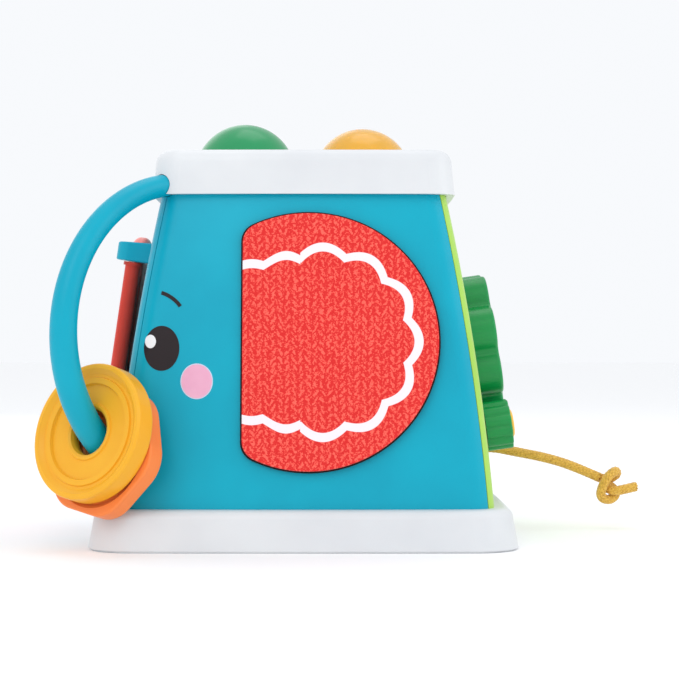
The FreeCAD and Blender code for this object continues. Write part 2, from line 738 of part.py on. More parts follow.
def make_page():
    """The rigid ear page, its barrel, pin and the two brackets, in the hinge's frame."""
    axis = Vector(0, 1, 0)
    half = PAGE_THICK / 2
    # The D is drawn with its straight edge on -x, then turned to reach away along -x.
    plate = d_plate(PAGE_R, PAGE_CENTRE - PAGE_SHOULDER, FLAP_CORNER, PAGE_THICK)
    rims = edges_at(plate, 0) + edges_at(plate, PAGE_THICK)
    plate = plate.makeFillet(PAGE_ROUND, rims)
    inner = d_plate(PAGE_R - PAGE_RIM, PAGE_CENTRE - PAGE_SHOULDER - PAGE_RIM, FLAP_CORNER, 5)
    inner.translate(Vector(0, 0, PAGE_THICK - PAGE_RECESS))
    plate = plate.cut(inner)
    plate.translate(Vector(-PAGE_CENTRE, 0, -half))
    mirror = Matrix(-1, 0, 0, -2 * PAGE_CENTRE, 0, 1, 0, 0, 0, 0, 1, 0, 0, 0, 0, 1)
    plate = plate.transformGeometry(mirror)
    web_half = BARREL_HALF - COLLAR_LENGTH - 5
    web = block(-PAGE_SHOULDER - 4, 0, -web_half, web_half, -half + 0.6, half - 0.6)
    barrel = Part.makeCylinder(BARREL_R, 2 * BARREL_HALF, Vector(0, -BARREL_HALF, 0), axis)
    page = join([plate, web]).cut(barrel)
    collars = []
    for way in (-1, 1):
        start = Vector(0, way * (BARREL_HALF - COLLAR_LENGTH), 0)
        collars.append(Part.makeCylinder(COLLAR_R, COLLAR_LENGTH, start, axis * way))
    bore = Part.makeCylinder(PIN_R + PIN_FIT, 200, Vector(0, -100, 0), axis)
    barrel = join([barrel] + collars).cut(bore)
    reach = BARREL_HALF + BRACKET_GAP
    pin_half = reach + PIN_SEAT
    pin = Part.makeCylinder(PIN_R, 2 * pin_half, Vector(0, -pin_half, 0), axis)
    return page, barrel, pin, reach


def make_bracket(way, reach, pin):
    """One tapered arm that holds an end of the hinge pin."""
    root = -ROD_LIFT - PANEL_WALL
    tip = BRACKET_BEYOND
    flare = (BRACKET_ROOT - BRACKET_TIP) / 2
    near = reach * way
    corners = [Vector(0, near, tip), Vector(0, near + way * BRACKET_TIP, tip),
               Vector(0, near + way * (BRACKET_TIP + flare), root), Vector(0, near, root)]
    arm = Part.Face(Part.makePolygon(corners + corners[:1])).extrude(Vector(BRACKET_WIDTH, 0, 0))
    arm.translate(Vector(-BRACKET_WIDTH / 2, 0, 0))
    half = BRACKET_WIDTH / 2
    axis = Vector(0, 1, 0)
    nose = Part.makeCylinder(half, 200, Vector(0, -100, tip - half), axis)
    shank = block(-half, half, -100, 100, root - 1, tip - half)
    arm = arm.common(join([nose, shank]))
    edges = [e for e in arm.Edges if e.BoundBox.ZMax > -ROD_LIFT and e.BoundBox.YLength < 1.5
             and e.BoundBox.ZMin > root + 0.1]
    if edges:
        arm = arm.makeFillet(0.8, edges)
    return arm.cut(pin)


# ---- gears -----------------------------------------------------------------------------------
def pinion_shift():
    """From the flower gear's axis to the pinion's axis, in the gear frame."""
    distance = GEAR_MODULE * (DRIVE_TEETH + DRIVEN_TEETH) / 2
    across = -math.sqrt(distance ** 2 - PINION_DROP ** 2)
    return Vector(across, -PINION_DROP, 0)


def lobed_gear(lobes, tip_r, valley_r, dent_r):
    """A soft-edged lobed wheel with a bored hub and a recess for the hub cap."""
    wheel = Part.Face(lobed_outline(lobes, tip_r, valley_r, dent_r))
    wheel = wheel.extrude(Vector(0, 0, GEAR_THICK))
    wheel = wheel.makeFillet(min(GEAR_ROUND, dent_r * 0.9 + 0.3), edges_at(wheel, GEAR_THICK))
    wheel.translate(Vector(0, 0, GEAR_LIFT))
    return wheel.cut(Part.makeCylinder(AXLE_R, 60, Vector(0, 0, -30)))


def make_gears():
    """Both visible wheels with their axles, hub caps, drive gears and carrier."""
    shift = pinion_shift()
    top = GEAR_LIFT + GEAR_THICK
    flower = lobed_gear(FLOWER_LOBES, FLOWER_TIP_R, FLOWER_VALLEY_R, FLOWER_DENT_R)
    dish = turned([(HUB_CAP_R + 2.5, top + 1), (HUB_CAP_R + 2.5, top - 1.2),
                   (FLOWER_VALLEY_R - 6, top - 1.2), (FLOWER_VALLEY_R - 5, top + 1)])
    flower = flower.cut(dish)
    flower.rotate(Vector(0, 0, 0), UP, FLOWER_TURN)
    pinion = lobed_gear(PINION_LOBES, PINION_TIP_R, PINION_VALLEY_R, PINION_DENT_R)
    pinion.rotate(Vector(0, 0, 0), UP, PINION_TURN)
    drive_top = -CARRIER_DEPTH - CARRIER_THICK - 1
    drive_low = drive_top - DRIVE_THICK
    axle = Part.makeCylinder(AXLE_R, top - 1 - drive_low, Vector(0, 0, drive_low))
    cap_seat = top - 1
    cap = turned([(0, cap_seat), (AXLE_R, cap_seat), (AXLE_R, top), (HUB_CAP_R, top),
                  (HUB_CAP_R, top + 0.6), (HUB_CAP_R - 1.2, top + 1.4), (0, top + 1.8)])
    drive = involute_gear(DRIVE_TEETH, DRIVE_THICK, AXLE_R)
    driven = involute_gear(DRIVEN_TEETH, DRIVE_THICK, AXLE_R)
    # Tooth 0 of the large gear points at the pinion, whose gap faces it.
    bearing = math.degrees(math.atan2(shift.y, shift.x))
    drive.rotate(Vector(0, 0, 0), UP, bearing)
    driven.rotate(Vector(0, 0, 0), UP, bearing + 180 + 180 / DRIVEN_TEETH)
    for gear in (drive, driven):
        gear.translate(Vector(0, 0, drive_low))
    carrier_top = -CARRIER_DEPTH
    carrier_low = carrier_top - CARRIER_THICK
    plates = []
    for centre in (Vector(0, 0, 0), shift):
        plates.append(Part.makeCylinder(CARRIER_R, CARRIER_THICK,
                                        centre + Vector(0, 0, carrier_low)))
    beam = block(0, shift.Length, -CARRIER_R + 3, CARRIER_R - 3, carrier_low, carrier_top)
    beam.rotate(Vector(0, 0, 0), UP, bearing)
    legs = []
    screws = []
    for share in (-0.18, 0.5, 1.18):
        spot = shift * share
        hole_low = spot + Vector(0, 0, carrier_low - 1)
        leg = Part.makeCylinder(3, CARRIER_DEPTH - 0.6, spot + Vector(0, 0, carrier_top))
        legs.append(leg.cut(Part.makeCylinder(1.0, CARRIER_THICK + 3, hole_low)))
        screws.append((spot, hole_low))
    carrier = join(plates + [beam])
    for centre in (Vector(0, 0, 0), shift):
        bore = Part.makeCylinder(AXLE_R + AXLE_FIT, 40, centre + Vector(0, 0, -20))
        carrier = carrier.cut(bore)
    fixings = []
    for spot, hole_low in screws:
        carrier = carrier.cut(Part.makeCylinder(1.0, CARRIER_THICK + 3, hole_low))
        seat = spot + Vector(0, 0, carrier_low)
        fixings.append(placed(small_screw(CARRIER_THICK + 1.0), Placement(seat, Rotation())))
    return flower, pinion, axle, cap, drive, driven, carrier, legs, fixings, shift


def small_screw(length):
    """A 2 mm screw whose head hangs below z = 0."""
    head = Part.makeCylinder(1.8, 0.8, Vector(0, 0, -0.8))
    return join([head, Part.makeCylinder(1.0, length)])


# ---- buttons and electronics -------------------------------------------------------------------
def make_button(x, dome_r, dome_z):
    """A hollow domed cap with a flange under the lid and a stem above its switch."""
    flange_top = CAP_UNDER - 0.3
    flange_low = flange_top - FLANGE_THICK
    flange_r = dome_r + BUTTON_FLANGE
    inner_r = dome_r - BUTTON_WALL
    skirt_low = min(flange_low, dome_z) - 1.0
    solid = join([Part.makeSphere(dome_r, Vector(0, 0, dome_z)),
                  Part.makeCylinder(dome_r, dome_z - skirt_low, Vector(0, 0, skirt_low)),
                  Part.makeCylinder(flange_r, FLANGE_THICK, Vector(0, 0, flange_low))])
    hollow = join([Part.makeSphere(inner_r, Vector(0, 0, dome_z)),
                   Part.makeCylinder(inner_r, 40, Vector(0, 0, dome_z - 40))])
    solid = solid.cut(hollow).common(Part.makeCylinder(60, 60, Vector(0, 0, skirt_low)))
    web_z = BOARD_TOP + 10
    web = Part.makeCylinder(inner_r + 0.5, 1.4, Vector(0, 0, web_z))
    web = web.common(join([Part.makeSphere(dome_r, Vector(0, 0, dome_z)),
                           Part.makeCylinder(dome_r, dome_z, Vector(0, 0, 0))]))
    stem_low = BOARD_TOP + SWITCH_HEIGHT + PRESS_TRAVEL + 0.4
    stem = Part.makeCylinder(STEM_R, web_z + 0.5 - stem_low, Vector(0, 0, stem_low))
    button = join([solid, web, stem])
    button.translate(Vector(x, 0, 0))
    return button


def make_speaker():
    """The sounder behind the far panel's grille, in the panel's frame."""
    back = -PANEL_WALL - 0.9
    ring = turned([(SPEAKER_R - 3, back), (SPEAKER_R + 1.5, back), (SPEAKER_R + 1.5, back - 1.6),
                   (SPEAKER_R - 3, back - 1.6)])
    face = back - 1.6
    cone = turned([(0, face - 2.4), (9, face - 2.4), (SPEAKER_R - 4, face - 0.8),
                   (SPEAKER_R - 3, face), (SPEAKER_R, face), (SPEAKER_R, face - 1.5),
                   (SPEAKER_R - 4, face - 2.5), (14, face - 8), (0, face - 8)])
    magnet_low = face - SPEAKER_DEPTH
    magnet = turned([(0, face - 8), (13, face - 8), (13, magnet_low + 1), (12, magnet_low),
                     (0, magnet_low)])
    return ring, cone, magnet


def grille_holes():
    """Rings of small round holes through the far panel."""
    holes = []
    for ring in range(4):
        count = max(1, 6 * ring)
        for i in range(count):
            centre = polar(GRILLE_PITCH * ring, 2 * math.pi * i / count)
            holes.append(Part.makeCylinder(GRILLE_HOLE_R, 8, centre + Vector(0, 0, -6)))
    return holes


def make_power_switch():
    """A slide switch, its knob and the slot that the knob runs in, in the far panel's frame."""
    slot_half = KNOB_TRAVEL + 3.0
    slot = block(-slot_half - 0.4, slot_half + 0.4, -2.2, 2.2, -6, 3)
    stem = block(-3, 3, -2, 2, -6.4, 0.9)
    pad = block(-5.0, 5.0, -4, 4, 0.7, 3.2)
    pad = pad.makeFillet(1.0, [e for e in pad.Edges if e.BoundBox.ZMin > 0.8])
    for i in (-2, -1, 0, 1, 2):
        groove = Part.makeCylinder(0.45, 12, Vector(i * 1.6, -6, 3.25), Vector(0, 1, 0))
        pad = pad.cut(groove)
    knob = join([stem, pad])
    case = block(-12, 12, -4.5, 4.5, -11, -4.2)
    pocket = block(-slot_half - 0.5, slot_half + 0.5, -2.3, 2.3, -7, 0)
    return slot, knob, case.cut(pocket)


def make_battery():
    """The cells' box with its screw boss, and the door with its sunk screw."""
    inner_y = CELLS * CELL_PITCH / 2 + CELL_FIT
    inner_x = CELL_LENGTH / 2 + CONTACT_SPACE
    cell_z = DOOR_THICK + CELL_FIT + CELL_R
    inner_top = cell_z + CELL_R + CELL_FIT
    low = BASE_FLOOR
    box = block(-inner_x - BOX_WALL, inner_x + BOX_WALL, -inner_y - BOX_WALL,
                inner_y + BOX_WALL, low, inner_top + BOX_WALL)
    box = box.cut(block(-inner_x, inner_x, -inner_y, inner_y, 0, inner_top))
    seat = Vector(0, DOOR_SCREW_Y, 0)
    boss = block(-BOSS_HALF, BOSS_HALF, inner_y + BOX_WALL / 2, DOOR_SCREW_Y + BOSS_HALF,
                 low, DOOR_SCREW_TOP + BOX_WALL)
    box = join([box, boss]).cut(Part.makeCylinder(SCREW_R, DOOR_SCREW_TOP, seat))
    door = door_outline(0, 0, DOOR_THICK)
    door = door.cut(Part.makeCylinder(SCREW_R + CELL_FIT, DOOR_THICK, seat))
    door = door.cut(Part.makeCylinder(DOOR_HEAD_R + CELL_FIT, DOOR_SINK, seat))
    for i in range(DOOR_GRIPS):
        start = Vector(-DOOR_GRIP_HALF, -DOOR_Y + DOOR_GRIP_PITCH * (i + 2), 0)
        door = door.cut(Part.makeCylinder(DOOR_GRIP_R, 2 * DOOR_GRIP_HALF, start, Vector(1, 0, 0)))
    screw = turned([(0, CELL_FIT), (DOOR_HEAD_R, CELL_FIT), (DOOR_HEAD_R, DOOR_SINK),
                    (SCREW_R, DOOR_SINK), (SCREW_R, DOOR_SCREW_TOP), (0, DOOR_SCREW_TOP)])
    for half_x, half_y in ((DOOR_HEAD_R * 0.7, 0.35), (0.35, DOOR_HEAD_R * 0.7)):
        screw = screw.cut(block(-half_x, half_x, -half_y, half_y, 0, DOOR_SINK * 0.7))
    screw.translate(seat)
    return door, box, screw, cell_z, inner_x


def make_cells(cell_z, inner_x):
    """Three round cells, and the plates and springs that touch their ends."""
    cells = []
    contacts = []
    for i in range(CELLS):
        y = (i - (CELLS - 1) / 2) * CELL_PITCH
        way = 1 if i % 2 else -1
        half = CELL_LENGTH / 2
        can = Part.makeCylinder(CELL_R, CELL_LENGTH - 1.5, Vector(-half * way, y, cell_z),
                                Vector(way, 0, 0))
        tip = Part.makeCylinder(2.7, 1.5, Vector((half - 1.5) * way, y, cell_z),
                                Vector(way, 0, 0))
        cells.append(join([can, tip]))
        for end in (-1, 1):
            x = inner_x * end
            plate = block(min(x, x - 0.5 * end), max(x, x - 0.5 * end), y - 5, y + 5,
                          cell_z - 5, cell_z + 5)
            contacts.append(plate)
        gap = inner_x - 0.5 - half
        for k in range(3):
            centre = Vector(-way * (half + 0.5 + k * (gap - 1.0) / 2), y, cell_z)
            contacts.append(Part.makeTorus(COIL_R, COIL_WIRE, centre, Vector(1, 0, 0)))
    return group(cells), Part.makeCompound(contacts)


# ---- build -----------------------------------------------------------------------------------
def build():
    """Make every node."""
    panels = make_panels()
    base = make_base()
    cap = make_cap()
    nodes["tie_posts"], nodes["case_screws"] = make_posts()

    tunnel = trunk_tube(TRUNK_LOW_END, TRUNK_HIGH_END, TRUNK_FIT)
    tube = trunk_tube(TRUNK_LOW_END, TRUNK_HIGH_END)
    sleeve = trunk_tube(TRUNK_LOW_END, TRUNK_HIGH_END, 0.05)
    socket, trunk_screws = make_socket(sleeve)
    for degrees, way in ((TRUNK_LOW_END, -1), (TRUNK_HIGH_END, 1)):
        tip, inward = trunk_end(degrees, way)
        tube = tube.cut(rod(SCREW_R, tip - inward * 7, tip + inward))
        tunnel = tunnel.fuse(rod(2 * SCREW_R + 0.4, tip - inward, tip + inward * 9))
    nodes["trunk_tube"] = tube
    nodes["trunk_socket"] = socket
    nodes["trunk_screws"] = trunk_screws
    cap = cap.cut(tunnel)
    for side in ("left", "front"):
        panels[side] = panels[side].cut(tunnel)
    nodes["yellow_ring"], nodes["orange_ring"] = make_rings()

    frame, flap, tab, slot, clamp, screws = make_flap()
    nodes["ear_flap"] = placed(flap, frame)
    nodes["flap_tab"] = placed(tab, frame)
    panels["front"] = panels["front"].cut(placed(slot, frame))
    nodes["flap_clamp"] = placed(clamp, frame).cut(panels["front"])
    nodes["flap_screws"] = group([placed(s, frame) for s in screws]).cut(panels["front"])

    hinge = page_frame()
    page, barrel, pin, reach = make_page()
    nodes["ear_page"] = placed(page, hinge)
    nodes["page_barrel"] = placed(barrel, hinge)
    nodes["page_pin"] = placed(pin, hinge)
    solid_body = body_loft(0, BASE_HEIGHT, SEAM_HEIGHT)
    bracket_screws = []
    for name, way in (("upper_bracket", 1), ("lower_bracket", -1)):
        arm = placed(make_bracket(way, reach, pin), hinge).cut(solid_body)
        middle = way * (reach + BRACKET_ROOT / 2)
        seat = Vector(0, middle, -ROD_LIFT - PANEL_WALL - 2.2)
        shank = Part.makeCylinder(SCREW_R, 60, Vector(0, middle, -ROD_LIFT - 40))
        shank = shank.common(block(-9, 9, -99, 99, -60, -ROD_LIFT + 4))
        hole = placed(shank, hinge)
        nodes[name] = arm.cut(hole)
        panels["left"] = panels["left"].cut(hole)
        bracket_screws.append(placed(pan_screw(seat, UP, PANEL_WALL + 5.5), hinge))
    nodes["bracket_screws"] = group(bracket_screws)

    gear_frame = face_frame("right", FLOWER_ALONG, FLOWER_Z)
    flower, pinion, axle, hub_cap, drive, driven, carrier, legs, fixings, shift = make_gears()
    beside = gear_frame.multiply(Placement(shift, Rotation()))
    nodes["flower_gear"] = placed(flower, gear_frame)
    nodes["flower_axle"] = placed(axle, gear_frame)
    nodes["flower_cap"] = placed(hub_cap, gear_frame)
    nodes["flower_drive"] = placed(drive, gear_frame)
    nodes["pinion_gear"] = placed(pinion, beside)
    nodes["pinion_axle"] = placed(axle, beside)
    nodes["pinion_cap"] = placed(hub_cap, beside)
    nodes["pinion_drive"] = placed(driven, beside)
    pad_disc = Part.makeCylinder(PAD_R, 12, Vector(0, 0, -6))
    halo = body_loft(-PAD_HEIGHT, BASE_HEIGHT, SEAM_HEIGHT).cut(body_loft(0, BASE_HEIGHT,
                                                                          SEAM_HEIGHT))
    dot_frame = face_frame("right", 0, DOT_Z)
    pads = [placed(pad_disc, gear_frame),
            placed(Part.makeCylinder(DOT_R, 12, Vector(0, 0, -6)), dot_frame)]
    raised = [halo.common(p) for p in pads]
    lime = join([panels["right"]] + raised)
    for place in (gear_frame, beside):
        hole = Part.makeCylinder(AXLE_R + PANEL_HOLE_FIT, 24, Vector(0, 0, -12))
        lime = lime.cut(placed(hole, place))
    tail_frame = face_frame("right", TAIL_ALONG, TAIL_Z)
    grommet_bore = Part.makeCylinder(CORD_R + CORD_FIT, 24, Vector(0, 0, -12))
    grommet = join([Part.makeCylinder(CORD_R + 1.4, PANEL_WALL + 1.4, Vector(0, 0, -PANEL_WALL)),
                    turned([(0, 0.2), (CORD_R + 3.4, 0.2), (CORD_R + 3.4, 0.9),
                            (CORD_R + 2.6, 1.5), (0, 1.5)])]).cut(grommet_bore)
    grommet_hole = Part.makeCylinder(CORD_R + 1.5, 24, Vector(0, 0, -12))
    lime = lime.cut(placed(grommet_hole, tail_frame))
    nodes["tail_grommet"] = placed(grommet, tail_frame)
    cavity = body_loft(PANEL_WALL, BASE_HEIGHT, SEAM_HEIGHT)
    feet = [placed(leg, gear_frame).common(cavity) for leg in legs]
    nodes["gear_carrier"] = join([placed(carrier, gear_frame)] + feet)
    nodes["carrier_screws"] = group([placed(s, gear_frame) for s in fixings])

    nodes["green_button"] = make_button(GREEN_X, GREEN_R, GREEN_Z)
    nodes["yellow_button"] = make_button(YELLOW_X, YELLOW_DOME_R, YELLOW_Z)
    for name, x in (("green_spring", GREEN_X), ("yellow_spring", YELLOW_X)):
        spring = coil_spring(SPRING_R, SPRING_WIRE, SPRING_HEIGHT, SPRING_TURNS)
        spring.translate(Vector(x, 0, BOARD_TOP))
        nodes[name] = spring
    guide_z = BOARD_TOP + 10 + 1.4
    guide = turned([(0, guide_z), (9.5, guide_z), (9.5, guide_z + 8), (8.2, guide_z + 12),
                    (5.2, guide_z + 15), (0, guide_z + 16.2)])
    guide.translate(Vector(YELLOW_X, 0, 0))
    nodes["light_guide"] = guide
    board = block(-BOARD_HALF_X, BOARD_HALF_X, -BOARD_HALF_Y, BOARD_HALF_Y,
                  BOARD_TOP - BOARD_THICK, BOARD_TOP)
    standoffs = []
    board_screws = []
    for sx in (-1, 1):
        for sy in (-1, 1):
            spot = Vector(sx * STANDOFF_X, sy * STANDOFF_Y, 0)
            pillar = Part.makeCylinder(2.4, CAP_UNDER - BOARD_TOP, spot + Vector(0, 0, BOARD_TOP))
            hole = Part.makeCylinder(1.0, 8, spot + Vector(0, 0, BOARD_TOP - 3))
            standoffs.append(pillar.cut(hole))
            board = board.cut(hole)
            screw = small_screw(BOARD_THICK + 4)
            screw.translate(spot + Vector(0, 0, BOARD_TOP - BOARD_THICK))
            board_screws.append(screw)
    nodes["circuit_board"] = board
    nodes["board_standoffs"] = group(standoffs)
    nodes["board_screws"] = group(board_screws)
    switches = []
    for x in (GREEN_X, YELLOW_X):
        case = block(x - 3, x + 3, -3, 3, BOARD_TOP, BOARD_TOP + 1.8)
        dot = Part.makeCylinder(1.6, 0.8, Vector(x, 0, BOARD_TOP + 1.8))
        switches.append(join([case, dot]))
    nodes["tact_switches"] = group(switches)
    lamps = []
    for y in (-12.5, 12.5):
        bulb = turned([(0, 0), (2.9, 0), (2.9, 1), (2.5, 1), (2.5, 4.5), (1.7, 6.2), (0, 6.9)])
        bulb.translate(Vector(YELLOW_X, y, BOARD_TOP))
        lamps.append(bulb)
    nodes["lamps"] = group(lamps)

    speaker_frame = face_frame("far", 0, SPEAKER_Z)
    ring, cone, magnet = make_speaker()
    nodes["speaker_ring"] = placed(ring, speaker_frame)
    nodes["speaker_cone"] = placed(cone, speaker_frame)
    nodes["speaker_magnet"] = placed(magnet, speaker_frame)
    for hole in grille_holes():
        panels["far"] = panels["far"].cut(placed(hole, speaker_frame))
    knob_frame = face_frame("far", 0, KNOB_Z)
    slot, knob, case = make_power_switch()
    panels["far"] = panels["far"].cut(placed(slot, knob_frame))
    nodes["power_knob"] = placed(knob, knob_frame)
    nodes["slide_switch"] = placed(case, knob_frame)

    door, box, door_screw, cell_z, inner_x = make_battery()
    nodes["battery_door"] = door
    nodes["door_screw"] = door_screw
    nodes["battery_box"] = box
    nodes["battery_cells"], nodes["battery_contacts"] = make_cells(cell_z, inner_x)

    path, radii = cord_path(CORD_ROUTE)
    start = Vector(*CORD_ROUTE[0])
    heading = (Vector(*CORD_ROUTE[1]) - start).normalize()
    section = Part.Wire(Part.makeCircle(CORD_R, start, heading))
    cord = path.makePipeShell([section], True, False)
    print("cord arc radii", [round(r, 1) for r in radii])
    print("cord volume", round(cord.Volume, 1), "of", round(math.pi * CORD_R ** 2 * path.Length, 1))
    nodes["tail_cord"] = cord
    knot = Part.makeSphere(1.0)
    stretch = Matrix(KNOT_HALF_WIDTH, 0, 0, 0, 0, KNOT_HALF_WIDTH + 0.8, 0, 0,
                     0, 0, KNOT_HALF_HEIGHT, 0, 0, 0, 0, 1)
    knot = knot.transformGeometry(stretch)
    knot.translate(Vector(*KNOT_CENTRE))
    nodes["tail_knot"] = knot.cut(cord)
    end = rod(CORD_R, Vector(*KNOT_CENTRE) + Vector(2, 0, -1.4), Vector(*TAIL_END))
    nodes["tail_end"] = end.cut(knot)
    stopper = rod(CORD_R + 3, start - heading * 1.0, start + heading * 3.0)
    nodes["tail_anchor"] = stopper.cut(rod(CORD_R, start, start + heading * 9))

    nodes["base_shell"] = base
    nodes["top_cap"] = cap
    nodes["front_panel"] = panels["front"]
    nodes["left_panel"] = panels["left"]
    nodes["gear_panel"] = lime
    nodes["far_panel"] = panels["far"]


build()
os.makedirs("parts", exist_ok=True)
for name, shape in nodes.items():
    if not shape.isValid():
        print("not valid:", name)
    shape.exportStep("parts/" + name + ".step")
print(len(nodes), "nodes")
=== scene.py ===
"""Looks of a baby activity cube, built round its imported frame.

The cube is a truncated pyramid of moulded ABS. On one side it has a knitted fabric ear and a
printed face, on others a hinged page, a speaker grille and two lobed gears. Two rings slide on
a curved tube, two domed buttons stand in the lid, and a laid cord ends in an overhand knot.
Everything is in metres in the frame's own axes, and every new mesh sits at the origin.
"""

from __future__ import annotations

import json
import logging
import math
from dataclasses import dataclass
from enum import Enum

import bpy
from mathutils import Matrix, Vector


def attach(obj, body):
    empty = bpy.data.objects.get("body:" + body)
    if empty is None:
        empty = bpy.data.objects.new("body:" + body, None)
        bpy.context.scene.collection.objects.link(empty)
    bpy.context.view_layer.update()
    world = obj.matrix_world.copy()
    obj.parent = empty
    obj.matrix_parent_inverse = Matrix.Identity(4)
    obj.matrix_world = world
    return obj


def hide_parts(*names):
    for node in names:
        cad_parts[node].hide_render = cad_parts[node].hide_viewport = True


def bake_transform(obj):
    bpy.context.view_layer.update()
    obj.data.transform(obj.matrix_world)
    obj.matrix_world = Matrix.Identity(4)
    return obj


LOG = logging.getLogger("activity_cube")
MM = 0.001
MATH = "ShaderNodeMath"
VECTOR_MATH = "ShaderNodeVectorMath"
NOISE = "ShaderNodeTexNoise"
RANGE = "ShaderNodeMapRange"
MIX = "ShaderNodeMix"
BUMP = "ShaderNodeBump"
Colour = tuple[float, float, float, float]

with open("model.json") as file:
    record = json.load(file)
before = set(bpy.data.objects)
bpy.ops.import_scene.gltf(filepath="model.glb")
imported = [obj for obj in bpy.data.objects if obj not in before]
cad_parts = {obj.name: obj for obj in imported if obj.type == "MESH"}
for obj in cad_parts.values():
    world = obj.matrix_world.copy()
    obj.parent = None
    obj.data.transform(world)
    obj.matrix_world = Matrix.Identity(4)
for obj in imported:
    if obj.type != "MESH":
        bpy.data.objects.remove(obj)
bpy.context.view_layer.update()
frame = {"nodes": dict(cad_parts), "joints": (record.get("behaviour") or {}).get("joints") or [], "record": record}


# ---- small helpers ---------------------------------------------------------------------------
def linear(hex_colour: str) -> Colour:
    """Turn an sRGB hex colour into linear light.

    Args:
        hex_colour: Six hex digits, with or without a leading #.

    Returns:
        Linear red, green and blue, and an alpha of 1.
    """
    digits = hex_colour.lstrip("#")
    channels = [int(digits[i:i + 2], 16) / 255 for i in (0, 2, 4)]
    light = [c / 12.92 if c <= 0.04045 else ((c + 0.055) / 1.055) ** 2.4 for c in channels]
    return (light[0], light[1], light[2], 1.0)


def add_node(
    tree: bpy.types.NodeTree,
    kind: str,
    settings: dict[str, object] | None = None,
    inputs: dict[str | int, object] | None = None,
) -> bpy.types.Node:
    """Add a node with its settings, its fixed inputs and its links.

    Args:
        tree: The node tree that gets the node.
        kind: The node's Blender type name.
        settings: Property names and their values.
        inputs: Input names or numbers, each with a value or with the socket that feeds it.

    Returns:
        The new node.
    """
    node = tree.nodes.new(kind)
    for name, value in (settings or {}).items():
        setattr(node, name, value)
    for key, value in (inputs or {}).items():
        if isinstance(value, bpy.types.NodeSocket):
            tree.links.new(value, node.inputs[key])
        else:
            node.inputs[key].default_value = value
    return node


def new_material(name: str) -> tuple[bpy.types.Material, bpy.types.NodeTree, bpy.types.Node]:
    """Make an empty material that has one Principled shader.

    Args:
        name: The material's name.

    Returns:
        The material, its tree and its shader node.
    """
    material = bpy.data.materials.new(name)
    material.use_nodes = True
    tree = material.node_tree
    tree.nodes.clear()
    shader = add_node(tree, "ShaderNodeBsdfPrincipled")
    add_node(tree, "ShaderNodeOutputMaterial", inputs={"Surface": shader.outputs[0]})
    return material, tree, shader


def dress(piece: bpy.types.Object, material: bpy.types.Material) -> None:
    """Give a piece one material in place of all that it had.

    Args:
        piece: The mesh object.
        material: Its only material from now on.
    """
    piece.data.materials.clear()
    piece.data.materials.append(material)


def deselect() -> None:
    """Leave object mode with nothing selected."""
    if bpy.context.object and bpy.context.object.mode != "OBJECT":
        bpy.ops.object.mode_set(mode="OBJECT")
    bpy.ops.object.select_all(action="DESELECT")


def select_only(piece: bpy.types.Object) -> None:
    """Make a piece the only selected one, and the active one.

    Args:
        piece: The object to select.
    """
    deselect()
    piece.select_set(True)
    bpy.context.view_layer.objects.active = piece


def settle(piece: bpy.types.Object) -> None:
    """Move a piece's place, turn and scale into its mesh.

    Args:
        piece: The object, which ends at the origin with no turn and no scale.
    """
    select_only(piece)
    bpy.ops.object.transform_apply(location=True, rotation=True, scale=True)


def apply_modifier(piece: bpy.types.Object, kind: str, **settings: object) -> None:
    """Add a modifier, set it and apply it.

    Args:
        piece: The object that gets it.
        kind: The modifier's type.
        settings: Its properties.
    """
    select_only(piece)
    modifier = piece.modifiers.new(kind.lower(), kind)
    for name, value in settings.items():
        setattr(modifier, name, value)
    bpy.ops.object.modifier_apply(modifier=modifier.name)


def smooth(piece: bpy.types.Object, degrees: float = 35.0) -> None:
    """Shade a piece smooth, but keep its corners sharp.

    Args:
        piece: The mesh object.
        degrees: Edges that turn more than this stay sharp.
    """
    select_only(piece)
    bpy.ops.object.shade_smooth_by_angle(angle=math.radians(degrees))


def finish_piece(
    piece: bpy.types.Object, name: str, material: bpy.types.Material
) -> None:
    """Name and dress a piece, and log how many faces it has.

    Args:
        piece: The new mesh object.
        name: The piece's name.
        material: What it is made of.
    """
    piece.name = name
    piece.data.name = name
    dress(piece, material)
    LOG.info("piece %s: %d faces", name, len(piece.data.polygons))


